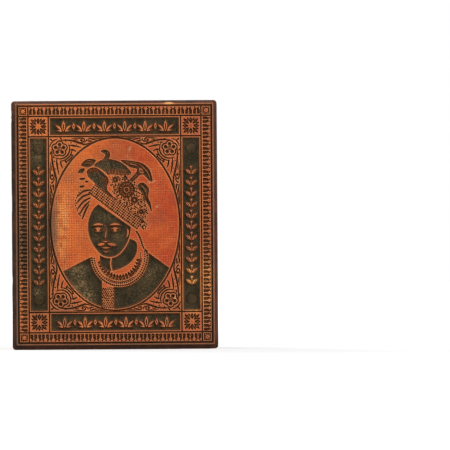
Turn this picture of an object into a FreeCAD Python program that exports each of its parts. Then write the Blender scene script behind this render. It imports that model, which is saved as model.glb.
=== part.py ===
# Stamp die: a copper printing plate etched in relief, pinned on a wood block that brings it to type height.
# Millimetres. X runs to the viewer's right, Z up the design, and the printing face looks towards -Y.
# The origin is in the middle of the lower side, on which the block stands.
import FreeCAD, Part
import math
import os

os.makedirs("parts", exist_ok=True)

# The block as a whole
type_height = 23.32          # from the wood's back to the printing face
block_width = 24.7
block_height = 29.9
corner_round = 0.4           # the four long edges, worn round
back_round = 0.3             # the edge round the wood's back
cut_overrun = 0.2            # how far a drilled hole runs out past the face it starts in

# The copper plate
plate_thickness = 1.63
relief_depth = 0.35
foot_height = 0.5            # the upright part of the plate's edge, below the bevel
bevel_left = 0.53
bevel_right = 0.39
bevel_top = 0.36
bevel_bottom = 0.56
print_corner_round = 0.12

# The narrow wood slip and its glue joint
slip_width = 1.5
glue_thickness = 0.15

# The mounting pins
pin_shank = 0.8
pin_head = 1.3
pin_head_depth = 0.35
pin_length = 11.0
pin_point = 1.4
pin_clearance = 0.02
pin_inset = 1.3              # from the end of a side tablet to the pin's axis

# Frame lines of the design, from its outer edge inwards
outer_rule = 0.18
outer_groove = 0.18
frieze_band = 1.09
frieze_rail = 0.16
frieze_bar = 0.17
frieze_pitch = 0.93
inner_groove = 0.12
panel_rule = 0.16
panel_ground = 2.0

# Ornament
corner_leaf_length = 0.74
corner_leaf_width = 0.26
corner_star = 0.27           # radius of the plain star in the middle of a corner square
diamond_half = 0.3
bud_height = 1.34
bud_pitch = 2.45
lozenge_width = 0.44
spray_pitch = 1.32
spray_leaf_length = 0.84
spray_leaf_width = 0.34
spray_blank = 2.7            # bare length at each end of a side tablet
flower_inset_side = 1.28
flower_inset_top = 1.4
flower_radius = 0.86
flower_ring = 0.15
petal_radius = 0.19
petal_circle = 0.51
scroll_margin = 0.12
pocket_leaf_length = 0.5       # the small leaf in each outer corner of the field

# Oval and its ring
oval_margin = 0.1            # raised metal left between the ring and the field's edge
oval_ring = 0.18
oval_rim = 0.14              # raised line between the ring and the coat

# Figure in the oval
head_half_width = 2.6
head_half_height = 3.3
face_gap = 0.2               # raised line round the face
necklace_half_width = 3.5
necklace_half_height = 3.8
pendant_width = 1.44
collar_half_width = 2.25
collar_half_height = 2.3
brooch_radius = 1.08
brooch_eye = 0.42
bead_radius = 0.12
band_bead = 0.3

face_y = -type_height / 2
floor_y = face_y + relief_depth
plate_back_y = face_y + plate_thickness
wood_back_y = type_height / 2


def at(x, z, y=face_y):
    """A point of the drawing, by default in the plane of the printing face."""
    return FreeCAD.Vector(x, y, z)


def into_block(depth):
    """The way from the printing face into the block, as long as depth."""
    return FreeCAD.Vector(0, depth, 0)


def inset(area, by):
    """A rectangle (left, bottom, right, top) drawn in on all sides."""
    left, bottom, right, top = area
    return left + by, bottom + by, right - by, top - by


def rectangle(area):
    """The outline of a rectangle given by its left, bottom, right and top."""
    left, bottom, right, top = area
    corners = [at(left, bottom), at(right, bottom), at(right, top), at(left, top)]
    return Part.makePolygon(corners + corners[:1])


def rounded_outline(area, radius, y):
    """A rectangle with quarter-circle corners, in the plane at y."""
    left, bottom, right, top = area
    corners = [(right, bottom, -90), (right, top, 0), (left, top, 90), (left, bottom, 180)]
    edges = []
    ends = []
    for x, z, start in corners:
        cx = x - radius if x == right else x + radius
        cz = z - radius if z == top else z + radius
        turned = [math.radians(start + part) for part in (0, 45, 90)]
        ends.append([at(cx + radius * math.cos(t), cz + radius * math.sin(t), y) for t in turned])
    for index, arc in enumerate(ends):
        edges.append(Part.Arc(*arc).toShape())
        edges.append(Part.LineSegment(arc[2], ends[(index + 1) % len(ends)][0]).toShape())
    return Part.Wire(edges)


def leaf(base, angle, length, width, bow=0):
    """A pointed leaf of two arcs from base, at an angle in degrees; bow bends its middle to the left."""
    turn = math.radians(angle)
    along = FreeCAD.Vector(math.cos(turn), 0, math.sin(turn))
    across = FreeCAD.Vector(-math.sin(turn), 0, math.cos(turn))
    start = at(*base)
    tip = start + along * length
    middle = start + along * (length / 2) + across * bow
    left = middle + across * (width / 2)
    right = middle - across * (width / 2)
    return Part.Wire([Part.Arc(start, left, tip).toShape(), Part.Arc(tip, right, start).toShape()])


def oval(centre, half_width, half_height):
    """An ellipse, given by its half axes."""
    x, z = centre
    upright = at(x, z + half_height)
    level = at(x + half_width, z)
    longer, shorter = (upright, level) if half_height >= half_width else (level, upright)
    return Part.Wire([Part.Ellipse(longer, shorter, at(x, z)).toShape()])


def disc(centre, radius):
    """A circle that faces out of the printing face."""
    return Part.Wire([Part.Circle(at(*centre), FreeCAD.Vector(0, -1, 0), radius).toShape()])


def polygon(points):
    """A closed outline of straight lines."""
    return Part.makePolygon([at(x, z) for x, z in points] + [at(*points[0])])


def smooth_outline(points):
    """A closed smooth line through the points."""
    curve = Part.BSplineCurve()
    curve.interpolate(Points=[at(x, z) for x, z in points], PeriodicFlag=True)
    return Part.Wire([curve.toShape()])


def etched(outer, islands=()):
    """An etched recess with the raised islands that stand in it."""
    return Part.makeFace([outer] + list(islands), "Part::FaceMakerBullseye")


# The design's nested rectangles, from the outer rule to the field
print_area = (-block_width / 2 + bevel_left, bevel_bottom,
              block_width / 2 - bevel_right, block_height - bevel_top)
rule_inner = inset(print_area, outer_rule)
frieze_outer = inset(rule_inner, outer_groove)
frieze_inner = inset(frieze_outer, frieze_band)
panel_outer = inset(frieze_inner, inner_groove)
panel_band = 2 * panel_rule + panel_ground
panel_inner = inset(panel_outer, panel_band)
field = inset(panel_inner, inner_groove)
field_centre = ((field[0] + field[2]) / 2, (field[1] + field[3]) / 2)


def groove_net():
    """The net of straight grooves, with the bands, squares, tablets and field standing in it as islands."""
    islands = []
    for outer, inner, core in ((frieze_outer, frieze_inner, panel_outer), (panel_outer, panel_inner, field)):
        columns = ((outer[0], inner[0]), (core[0], core[2]), (inner[2], outer[2]))
        rows = ((outer[1], inner[1]), (core[1], core[3]), (inner[3], outer[3]))
        spans = [(column, row) for column in columns for row in rows]
        if core is panel_outer:
            spans.remove((columns[1], rows[1]))
        islands += [rectangle((column[0], row[0], column[1], row[1])) for column, row in spans]
    return [etched(rectangle(rule_inner), islands)]


def turned(point, origin, quarter_turns):
    """A point of a band's own drawing, turned by quarter turns and set on the band's origin."""
    x, z = point
    for _ in range(quarter_turns):
        x, z = -z, x
    return origin[0] + x, origin[1] + z


bud_foot_share = 0.12
bud_length_share = 0.74
bud_width_share = 0.8


def frieze_cells():
    """Arched windows between bars, each with a raised bud, along the four bands."""
    left, bottom, right, top = panel_outer
    bands = [((left, frieze_inner[3]), right - left, 0), ((frieze_inner[0], bottom), top - bottom, 1),
             ((right, frieze_inner[1]), right - left, 2), ((frieze_inner[2], top), top - bottom, 3)]
    window_height = frieze_band - 2 * frieze_rail
    cells = []
    for origin, length, turns in bands:
        count = max(1, round(length / frieze_pitch))
        pitch = length / count
        half = (pitch - frieze_bar) / 2
        for index in range(count):
            middle = pitch * (index + 0.5)
            sill = frieze_rail
            spring = sill + window_height - half
            crown = sill + window_height
            corners = [(middle - half, sill), (middle + half, sill), (middle + half, spring),
                       (middle, crown), (middle - half, spring)]
            a, b, c, d, e = [at(*turned(p, origin, turns)) for p in corners]
            lines = [Part.LineSegment(*pair).toShape() for pair in ((a, b), (b, c), (e, a))]
            window = Part.Wire([lines[0], lines[1], Part.Arc(c, d, e).toShape(), lines[2]])
            bud_foot = turned((middle, sill + window_height * bud_foot_share), origin, turns)
            bud = leaf(bud_foot, 90 * (turns + 1), window_height * bud_length_share, half * bud_width_share)
            cells.append(etched(window, [bud]))
    return cells


diagonal_star_share = 1.15
diagonal_leaf_share = 1.25
diamond_eye_share = 1 / 3


def corner_pieces():
    """Diamonds in the frieze's corners, and the corner squares with eight leaf cuts round a plain star."""
    shapes = []
    for side in (0, 2):
        for end in (1, 3):
            x = (frieze_outer[side] + frieze_inner[side]) / 2
            z = (frieze_outer[end] + frieze_inner[end]) / 2
            shapes.append(etched(polygon([(x - diamond_half, z), (x, z - diamond_half),
                                          (x + diamond_half, z), (x, z + diamond_half)]),
                                 [disc((x, z), diamond_half * diamond_eye_share)]))
            x = (panel_outer[side] + panel_inner[side]) / 2
            z = (panel_outer[end] + panel_inner[end]) / 2
            for index in range(8):
                angle = 45 * index
                reach = corner_star if index % 2 == 0 else corner_star * diagonal_star_share
                foot = (x + reach * math.cos(math.radians(angle)), z + reach * math.sin(math.radians(angle)))
                length = corner_leaf_length if index % 2 == 0 else corner_leaf_length * diagonal_leaf_share
                shapes.append(etched(leaf(foot, angle, length, corner_leaf_width)))
    return shapes


bud_core_share = 0.34
side_leaf_start_share = 0.13
side_leaf_turn = 44
side_leaf_length_share = 0.88
side_leaf_width_share = 0.2
side_leaf_bow_share = 0.08


def title_tablets():
    """The upper and lower tablets: a sunk ground with a row of raised buds and lozenges."""
    shapes = []
    z_of_tablets = ((panel_outer[3] + panel_inner[3]) / 2, (panel_outer[1] + panel_inner[1]) / 2)
    for z in z_of_tablets:
        area = (field[0], z - panel_band / 2, field[2], z + panel_band / 2)
        ground = inset(area, panel_rule)
        length = ground[2] - ground[0]
        count = int(length / bud_pitch)
        islands = []
        for index in range(count):
            x = field_centre[0] + (index - (count - 1) / 2) * bud_pitch
            foot = z - bud_height / 2
            islands.append(leaf((x, foot), 90, bud_height, bud_height * bud_core_share))
            for side in (-1, 1):
                start = (x + side * bud_height * side_leaf_start_share, foot)
                bow = side * bud_height * side_leaf_bow_share
                islands.append(leaf(start, 90 - side * side_leaf_turn, bud_height * side_leaf_length_share,
                                    bud_height * side_leaf_width_share, bow))
            if index < count - 1:
                middle = x + bud_pitch / 2
                half = lozenge_width / 2
                islands.append(polygon([(middle - half, z), (middle, z - lozenge_width),
                                        (middle + half, z), (middle, z + lozenge_width)]))
        shapes.append(etched(rectangle(ground), islands))
    return shapes


def side_tablet_centres():
    """The places of the two side tablets, to the left and right of the field."""
    return (panel_outer[0] + panel_inner[0]) / 2, (panel_outer[2] + panel_inner[2]) / 2


stem_share = 0.4
spray_turn = 48
berry_place_share = 0.66


def side_tablets():
    """The left and right tablets: a sunk ground with a raised spray of leaf pairs and berries."""
    shapes = []
    for x in side_tablet_centres():
        area = (x - panel_band / 2, field[1], x + panel_band / 2, field[3])
        ground = inset(area, panel_rule)
        run = ground[3] - ground[1] - 2 * spray_blank
        count = int(run / spray_pitch)
        islands = []
        for index in range(count):
            z = field_centre[1] + (index - count / 2) * spray_pitch
            half_stem = spray_leaf_width * stem_share / 2
            for side in (-1, 1):
                islands.append(leaf((x + side * half_stem, z), 90 - side * spray_turn,
                                    spray_leaf_length, spray_leaf_width, side * half_stem))
            islands.append(disc((x, z + spray_pitch * berry_place_share), spray_leaf_width * stem_share))
        shapes.append(etched(rectangle(ground), islands))
    return shapes


petal_eye_share = 0.6
scroll_turn_shares = (0.135, 0.165, 0.2, 0.235, 0.27, 0.305, 0.345, 0.63, 0.67, 0.71, 0.745, 0.78, 0.81)
scroll_lean = 24
scroll_length_share = 0.86
scroll_width_share = 0.26
scroll_bow_share = 0.4
pocket_leaf_share = 0.45
half_turn_share = 0.5
least_slope_share = 0.1


def spandrels():
    """In each corner of the field: a five-petalled flower in a ring, and leaves fanned out from the oval."""
    half_width = (field[2] - field[0]) / 2
    half_height = (field[3] - field[1]) / 2
    shapes = []
    for side in (-1, 1):
        for end in (-1, 1):
            x = field_centre[0] + side * (half_width - flower_inset_side)
            z = field_centre[1] + end * (half_height - flower_inset_top)
            shapes.append(etched(disc((x, z), flower_radius + flower_ring), [disc((x, z), flower_radius)]))
            shapes.append(etched(disc((x, z), petal_radius * petal_eye_share)))
            for index in range(5):
                turn = math.radians(90 + 72 * index)
                spot = (x + petal_circle * math.cos(turn), z + petal_circle * math.sin(turn))
                shapes.append(etched(disc(spot, petal_radius)))
            diagonal = math.degrees(math.atan2(end, side))
            reach = (flower_radius + flower_ring + scroll_margin) * math.sqrt(0.5)
            shapes.append(etched(leaf((x + side * reach, z + end * reach), diagonal, pocket_leaf_length,
                                      pocket_leaf_length * pocket_leaf_share)))
            for turn in scroll_turn_shares:
                angle = turn * math.pi / 2
                foot_x = (half_width - oval_margin) * math.cos(angle)
                foot_z = (half_height - oval_margin) * math.sin(angle)
                out = math.atan2(foot_z / half_height ** 2, foot_x / half_width ** 2)
                leant = out + math.radians(scroll_lean if turn > half_turn_share else -scroll_lean)
                room = min((half_width - foot_x) / max(math.cos(leant), least_slope_share),
                           (half_height - foot_z) / max(math.sin(leant), least_slope_share))
                heading = math.degrees(math.atan2(end * math.sin(leant), side * math.cos(leant)))
                foot = (field_centre[0] + side * (foot_x + math.cos(out) * scroll_margin),
                        field_centre[1] + end * (foot_z + math.sin(out) * scroll_margin))
                length = (room - 2 * scroll_margin) * scroll_length_share
                width = (length + scroll_margin) * scroll_width_share
                bow = side * end * width * scroll_bow_share
                shapes.append(etched(leaf(foot, heading, length, width, bow)))
    return shapes


oval_half_width = (field[2] - field[0]) / 2 - oval_margin - oval_ring
oval_half_height = (field[3] - field[1]) / 2 - oval_margin - oval_ring


def spot(shares):
    """A place in the oval, given as shares of its half width and half height from its centre."""
    return field_centre[0] + shares[0] * oval_half_width, field_centre[1] + shares[1] * oval_half_height


# Outlines of the turban's sunk lobes and plume, as shares of the oval
turban_outline_shares = [
    [(-0.31, 0.66), (-0.19, 0.72), (-0.04, 0.73), (0.09, 0.69), (0.20, 0.62), (0.23, 0.545),
     (0.06, 0.545), (-0.10, 0.555), (-0.19, 0.61)],
    [(-0.44, 0.56), (-0.39, 0.62), (-0.28, 0.625), (-0.18, 0.57), (-0.12, 0.51), (-0.13, 0.43),
     (-0.07, 0.325), (-0.22, 0.41), (-0.34, 0.49)],
    [(0.19, 0.705), (0.38, 0.70), (0.48, 0.65), (0.54, 0.57), (0.565, 0.48), (0.48, 0.50),
     (0.44, 0.585), (0.36, 0.63), (0.27, 0.65)],
    [(-0.21, 0.845), (-0.15, 0.865), (-0.09, 0.845), (-0.075, 0.80), (-0.11, 0.755), (-0.17, 0.75),
     (-0.145, 0.81)]]
# Sunk leaves of the turban: place as shares of the oval, angle, length and width as shares of its half width
turban_leaf_shares = [
    ((-0.53, 0.66), 20, 0.25, 0.09), ((0.33, 0.49), -68, 0.30, 0.07), ((0.44, 0.46), -70, 0.62, 0.07),
    ((0.26, 0.50), 42, 0.22, 0.08), ((-0.59, 0.31), 12, 0.17, 0.06), ((-0.61, 0.22), -6, 0.16, 0.06),
    ((-0.60, 0.13), -24, 0.14, 0.055), ((-0.56, 0.06), -44, 0.11, 0.05)]
brooch_place_share = (0.18, 0.38)
band_start_share = (-0.37, 0.37)
band_end_share = (0.33, -0.03)
band_beads = 13
band_rows = 3
brim_start_share = (-0.335, 0.27)
brim_end_share = (0.27, -0.05)

# Head: place in the oval, and a plain egg outline as shares of its half width and half height
head_place_share = (-0.09, -0.06)
egg_outline_shares = [(0.0, 1.0), (0.66, 0.80), (0.97, 0.22), (0.86, -0.38), (0.46, -0.86), (0.0, -1.0),
                      (-0.46, -0.86), (-0.86, -0.38), (-0.97, 0.22), (-0.66, 0.80)]
# Features on ruled proportions: eyes half way up the head, each a fifth of its width, then even thirds
midline_share = -0.16
brow_level_share = 0.14
eye_level_share = 0.0
nose_level_share = -0.42
moustache_level_share = -0.52
mouth_level_share = -0.66
chin_level_share = -0.80
eye_width_share = 0.4
iris_share = 0.085
eye_place_shares = (midline_share - 0.36, midline_share + 0.42)
# One eye, from its middle: each stroke's place as shares of the head, its angle, and its length, width and bow
# as shares of the head's half width
eye_stroke_shares = [
    ((-0.27, brow_level_share), 0, 0.54, 0.11, 0.06),
    ((-0.20, eye_level_share), 0, eye_width_share, 0.07, 0.06),
    ((-0.15, eye_level_share - 0.05), 0, 0.30, 0.04, -0.03)]
# The strokes on and beside the midline, in the same terms
face_stroke_shares = [
    ((midline_share + 0.03, 0.02), -99, 0.50, 0.06, 0),
    ((midline_share - 0.17, nose_level_share), 0, 0.3, 0.07, -0.04),
    ((midline_share - 0.04, moustache_level_share), 190, 0.36, 0.14, 0),
    ((midline_share + 0.04, moustache_level_share), -10, 0.46, 0.14, 0),
    ((midline_share - 0.22, mouth_level_share), 0, 0.42, 0.08, -0.02),
    ((midline_share - 0.12, chin_level_share), 0, 0.24, 0.05, -0.03),
    ((0.80, 0.06), -95, 0.5, 0.1, 0.08)]

# Coat and dress, as shares of the oval
shoulder_shares = [(-1.3, -0.75), (-0.79, -0.54), (-0.38, -0.385), (0.1, -0.36), (0.51, -0.335),
                   (0.84, -0.515), (1.3, -0.72), (1.3, -1.3), (-1.3, -1.3)]
necklace_place_share = (0.065, -0.37)
collar_place_share = (0.09, -0.335)
pendant_place_share = -0.12
collar_line_shares = [(-0.02, -0.36), (-0.04, -0.50), (0.01, -0.58)]
necklace_row_shares = ((0.93, 24, 1.0), (0.84, 20, 0.8))
tassel_row_share = 0.735
tassel_count = 9
tassel_length_share = 0.12
tassel_width_share = 0.075
pendant_rows = 5
pendant_columns = 3


def head_outline(grown=0):
    """The egg of the head, grown by the raised line round it where that is wanted."""
    x, z = spot(head_place_share)
    return smooth_outline([(x + u * (head_half_width + grown), z + v * (head_half_height + grown))
                           for u, v in egg_outline_shares])


def face_features():
    """Brows, eyes, nose, moustache, mouth and ear as raised strokes, at the shares of the head above."""
    x, z = spot(head_place_share)
    strokes = list(face_stroke_shares)
    shapes = []
    for eye in eye_place_shares:
        for (u, v), *angle_and_sizes in eye_stroke_shares:
            strokes.append(((eye + u, v), *angle_and_sizes))
        shapes.append(Part.Face(disc((x + eye * head_half_width, z + eye_level_share * head_half_height),
                                     iris_share * head_half_width)))
    for (u, v), angle, *sizes in strokes:
        foot = (x + u * head_half_width, z + v * head_half_height)
        shapes.append(Part.Face(leaf(foot, angle, *[size * head_half_width for size in sizes])))
    return shapes


def below_brim():
    """Everything in the oval that lies below the turban's brim."""
    start = spot(brim_start_share)
    end = spot(brim_end_share)
    run = (end[0] - start[0], end[1] - start[1])
    far = oval_half_height
    unit = math.hypot(*run)
    along = (run[0] / unit, run[1] / unit)
    down = (along[1], -along[0])
    first = (start[0] - along[0] * far, start[1] - along[1] * far)
    last = (end[0] + along[0] * far, end[1] + along[1] * far)
    return Part.Face(polygon([first, last, (last[0] + down[0] * far, last[1] + down[1] * far),
                              (first[0] + down[0] * far, first[1] + down[1] * far)]))


brooch_dot_share = 1 / 3


def figure():
    """The bust in the oval: sunk face, collar, coat and turban, with the raised lines left standing."""
    face = Part.Face(head_outline()).common(below_brim()).cut(face_features())
    inner_oval = Part.Face(oval(field_centre, oval_half_width - oval_rim, oval_half_height - oval_rim))
    necklace = Part.Face(oval(spot(necklace_place_share), necklace_half_width, necklace_half_height))
    strip_x = spot((pendant_place_share, 0))[0]
    strip = Part.Face(rectangle((strip_x - pendant_width / 2, field[1], strip_x + pendant_width / 2,
                                 spot(necklace_place_share)[1])))
    coat = inner_oval.common(Part.Face(polygon([spot(s) for s in shoulder_shares]))).cut([necklace, strip])
    top, middle, foot = [spot(s) for s in collar_line_shares]
    left_edge = [(x - face_gap / 2, z) for x, z in (top, middle, foot)]
    right_edge = [(x + face_gap / 2, z) for x, z in (foot, middle, top)]
    collar_line = Part.Face(polygon(left_edge + right_edge))
    collar = Part.Face(oval(spot(collar_place_share), collar_half_width, collar_half_height))
    collar = collar.cut([Part.Face(head_outline(face_gap)), collar_line]).cut(above_collar())
    shapes = face.Faces + coat.Faces + collar.Faces
    shapes += [etched(smooth_outline([spot(s) for s in outline])) for outline in turban_outline_shares]
    for place, angle, length, width in turban_leaf_shares:
        shapes.append(etched(leaf(spot(place), angle, length * oval_half_width, width * oval_half_width)))
    centre = spot(brooch_place_share)
    shapes.append(etched(disc(centre, brooch_radius), [disc(centre, brooch_eye)]))
    shapes.append(etched(disc(centre, brooch_eye * brooch_dot_share)))
    return shapes


collar_top_share = 0.42


def above_collar():
    """The part of the oval above the collar's upper edge, between the head and the necklace."""
    x, z = spot(head_place_share)
    return Part.Face(rectangle((field[0], z - head_half_height * collar_top_share, field[2], field[3])))


band_row_share = 1.05
pendant_spread_share = 0.9


def beads():
    """Beads of the turban's band, the necklace, its tassels and the pendant strip, as small sunk dots."""
    shapes = []
    start = spot(band_start_share)
    end = spot(band_end_share)
    slope = math.atan2(end[1] - start[1], end[0] - start[0])
    for row in range(band_rows):
        shift = row * band_bead * band_row_share
        for index in range(band_beads):
            share = (index + 0.5) / band_beads
            x = start[0] + (end[0] - start[0]) * share + shift * -math.sin(slope)
            z = start[1] + (end[1] - start[1]) * share + shift * math.cos(slope)
            half = band_bead / 2
            ring = [(x + half * math.cos(slope + turn), z + half * math.sin(slope + turn))
                    for turn in (0, math.pi / 2, math.pi, -math.pi / 2)]
            shapes.append(etched(polygon(ring)))
    centre = spot(necklace_place_share)
    for reach, count, size in necklace_row_shares:
        for index in range(count):
            turn = math.radians(190 + 160 * (index + 0.5) / count)
            place = (centre[0] + reach * necklace_half_width * math.cos(turn),
                     centre[1] + reach * necklace_half_height * math.sin(turn))
            shapes.append(etched(disc(place, bead_radius * size)))
    for index in range(tassel_count):
        turn = math.radians(200 + 140 * (index + 0.5) / tassel_count)
        place = (centre[0] + tassel_row_share * necklace_half_width * math.cos(turn),
                 centre[1] + tassel_row_share * necklace_half_height * math.sin(turn))
        shapes.append(etched(leaf(place, math.degrees(turn) + 180, tassel_length_share * necklace_half_height,
                                  tassel_width_share * necklace_half_width)))
    strip_x = spot((pendant_place_share, 0))[0]
    strip_top = centre[1] - necklace_half_height
    strip_foot = field_centre[1] - oval_half_height + oval_rim
    for row in range(pendant_rows):
        z = strip_foot + (strip_top - strip_foot) * (row + 1) / (pendant_rows + 1)
        for column in range(pendant_columns):
            x = strip_x + pendant_width * ((column + 0.5) / pendant_columns - 0.5) * pendant_spread_share
            shapes.append(etched(disc((x, z), bead_radius)))
    return shapes


def oval_groove():
    """The ring groove round the oval."""
    outer = oval(field_centre, oval_half_width + oval_ring, oval_half_height + oval_ring)
    return [etched(outer, [oval(field_centre, oval_half_width, oval_half_height)])]


def pin(clearance=0):
    """One mounting pin on the Y axis, head at y = 0; with a clearance it is the hole that the pin fits."""
    shank = pin_shank / 2 + clearance
    head = pin_head / 2 + clearance
    length = pin_length + clearance
    profile = [(0, 0), (head, 0), (shank, pin_head_depth), (shank, length - pin_point), (0, length)]
    if clearance:
        profile = [(0, -cut_overrun), (head, -cut_overrun)] + profile[1:]
    points = [FreeCAD.Vector(x, y, 0) for x, y in profile]
    section = Part.Face(Part.makePolygon(points + points[:1]))
    return section.revolve(FreeCAD.Vector(0, 0, 0), FreeCAD.Vector(0, 1, 0), 360)


def at_pin_places(shape):
    """Copies of a shape at the four pin places, in the bare ends of the side tablets."""
    copies = []
    for x in side_tablet_centres():
        for z in (field[1] + panel_rule + pin_inset, field[3] - panel_rule - pin_inset):
            placed = shape.copy()
            placed.translate(FreeCAD.Vector(x, floor_y, z))
            copies.append(placed)
    return copies


def make_plate():
    """The copper plate: a bevelled base, and on it the drawing's raised and sunk faces, joined by walls."""
    whole = (-block_width / 2, 0, block_width / 2, block_height)
    bevel_foot_y = plate_back_y - foot_height
    foot = Part.Face(rounded_outline(whole, corner_round, bevel_foot_y)).extrude(into_block(foot_height))
    bevel = Part.makeLoft([rounded_outline(whole, corner_round, bevel_foot_y),
                           rounded_outline(print_area, print_corner_round, floor_y)], True, True)
    base = foot.fuse(bevel)
    base_top = min(base.Faces, key=lambda face: face.CenterOfMass.y)
    sides = [face for face in base.Faces if not face.isSame(base_top)]
    sheet = Part.Face(rounded_outline(print_area, print_corner_round, face_y))
    recesses = (groove_net() + frieze_cells() + corner_pieces() + title_tablets() + side_tablets()
                + spandrels() + oval_groove() + figure() + beads())
    raised = sheet.cut([face for recess in recesses for face in recess.Faces])
    sunk = sheet.cut(raised.Faces)
    sunk.translate(into_block(relief_depth))
    edges = [edge for face in raised.Faces for wire in face.Wires for edge in wire.Edges]
    walls = [edge.extrude(into_block(relief_depth)) for edge in edges]
    shell = Part.Shell(sides + sunk.Faces + walls + raised.Faces)
    shell.sewShape()
    plate = Part.Solid(shell)
    if plate.Volume < 0:
        plate.reverse()
    return plate.cut(at_pin_places(pin(pin_clearance)))


def make_wood():
    """The wood as one rounded block, then parted into the main block, the glue line and the slip."""
    depth = wood_back_y - plate_back_y
    wood = Part.makeBox(block_width, depth, block_height, FreeCAD.Vector(-block_width / 2, plate_back_y, 0))
    long_edges = [e for e in wood.Edges if abs(e.tangentAt(e.FirstParameter).y) > 0.5]
    wood = wood.makeFillet(corner_round, long_edges)
    back_edges = [e for e in wood.Edges if e.BoundBox.YMin > wood_back_y - back_round]
    wood = wood.makeFillet(back_round, back_edges)
    wood = wood.cut(at_pin_places(pin(pin_clearance)))
    joint_x = block_width / 2 - slip_width
    left_part = Part.makeBox(joint_x - glue_thickness + block_width, depth, block_height,
                             FreeCAD.Vector(-block_width, plate_back_y, 0))
    glue_part = Part.makeBox(glue_thickness, depth, block_height,
                             FreeCAD.Vector(joint_x - glue_thickness, plate_back_y, 0))
    slip_part = Part.makeBox(block_width, depth, block_height, FreeCAD.Vector(joint_x, plate_back_y, 0))
    return wood.common(left_part), wood.common(glue_part), wood.common(slip_part)


block, glue, slip = make_wood()
pieces = {"face_plate": make_plate(), "mount_block": block, "glue_line": glue, "edge_slip": slip,
          "block_pins": Part.makeCompound(at_pin_places(pin()))}
for name, shape in pieces.items():
    shape.exportStep("parts/" + name + ".step")
    state = "valid" if shape.isValid() else "not valid"
    print(name, len(shape.Solids), "solids", len(shape.Faces), "faces", state)
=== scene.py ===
import bpy
import math
import numpy as np
from mathutils import Matrix, Vector


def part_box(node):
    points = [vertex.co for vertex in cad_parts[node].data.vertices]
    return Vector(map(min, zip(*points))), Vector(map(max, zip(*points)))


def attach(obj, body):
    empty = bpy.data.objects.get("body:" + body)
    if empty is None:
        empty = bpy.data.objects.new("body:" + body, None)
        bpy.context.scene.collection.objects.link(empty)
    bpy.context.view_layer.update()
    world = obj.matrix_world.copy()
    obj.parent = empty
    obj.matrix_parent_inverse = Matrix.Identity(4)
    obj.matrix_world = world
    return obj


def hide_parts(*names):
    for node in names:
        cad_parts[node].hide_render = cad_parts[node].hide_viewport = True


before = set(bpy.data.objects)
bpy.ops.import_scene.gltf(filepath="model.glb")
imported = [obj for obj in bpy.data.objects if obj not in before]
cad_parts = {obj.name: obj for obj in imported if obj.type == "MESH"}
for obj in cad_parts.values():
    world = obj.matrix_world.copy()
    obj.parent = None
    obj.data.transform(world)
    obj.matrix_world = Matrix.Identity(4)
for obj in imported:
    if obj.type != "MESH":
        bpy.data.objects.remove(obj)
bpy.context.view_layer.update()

# The mount block: close-grained hardwood that brings the plate to type height. Its back has gone streaky
# and glossy with wear and ink, and the edges that hands and other blocks touch are rounded.
mm = 0.001
block_low, block_high = (np.array(corner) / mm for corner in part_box("mount_block"))
wood_back_y, wood_height = block_high[1:]
joint_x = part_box("edge_slip")[0][0] / mm
outer_left, outer_right = block_low[0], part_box("edge_slip")[1][0] / mm
wood_corner_round = 0.4
wood_back_round = 0.3
wood_side_wear = 0.03
wood_side_rows = 40
wood_turn_rows = 5
block_columns = 250
block_rows = 200
map_margin = 0.02
cap_map_scale = 0.015


def ease(share):
    """A share from 0 to 1 that starts and ends level: 3 t squared minus 2 t cubed, held at its ends."""
    held = np.clip(share, 0, 1)
    return held * held * (3 - 2 * held)


def cloud(u, v, seed):
    """Smooth noise from -1 to 1: random values at whole numbers of u and v, eased from each to the next."""
    size = 256
    values = np.random.default_rng(seed).uniform(-1, 1, (size, size))
    u, v = np.broadcast_arrays(u, v)
    i, j = np.floor(u).astype(int), np.floor(v).astype(int)
    s, t = ease(u - i), ease(v - j)
    near = values[i % size, j % size] * (1 - s) + values[(i + 1) % size, j % size] * s
    far = values[i % size, (j + 1) % size] * (1 - s) + values[(i + 1) % size, (j + 1) % size] * s
    return near * (1 - t) + far * t


def blot(x, z, middle, reach, lean=0):
    """A soft patch: 1 in its middle, falling off as the bell curve of the leant distance over its two
    reaches."""
    turn = math.radians(lean)
    along = (x - middle[0]) * math.cos(turn) + (z - middle[1]) * math.sin(turn)
    aside = (z - middle[1]) * math.cos(turn) - (x - middle[0]) * math.sin(turn)
    return np.exp(-(along / reach[0]) ** 2 - (aside / reach[1]) ** 2)


def patches(x, z, spots):
    """The sum of soft patches, each given by its strength, its middle, its two reaches and, if it leans,
    its lean."""
    return sum(strength * blot(x, z, middle, reach, *lean) for strength, middle, reach, *lean in spots)


def inset(area, by):
    """A rectangle (left, bottom, right, top) drawn in by one amount, or by one for each side."""
    left, bottom, right, top = np.broadcast_to(by, 4)
    return area[0] + left, area[1] + bottom, area[2] - right, area[3] - top


def rounded_sheet(area, radii, columns, rows):
    """An even grid over a rectangle with round corners: in a corner's square each point keeps its angle
    about the arc's centre, and the larger of its two offsets becomes its distance from that centre."""
    left, bottom, right, top = area
    x, z = np.meshgrid(np.linspace(left, right, columns), np.linspace(bottom, top, rows), indexing="ij")
    corners = ((left, bottom, 1, 1), (right, bottom, -1, 1), (right, top, -1, -1), (left, top, 1, -1))
    for radius, (edge_x, edge_z, in_x, in_z) in zip(radii, corners):
        centre_x, centre_z = edge_x + in_x * radius, edge_z + in_z * radius
        u, v = (centre_x - x) * in_x, (centre_z - z) * in_z
        shrink = np.where((u > 0) & (v > 0), np.maximum(u, v) / np.maximum(np.hypot(u, v), 1e-9), 1)
        x, z = centre_x - in_x * u * shrink, centre_z - in_z * v * shrink
    return x, z


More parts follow.
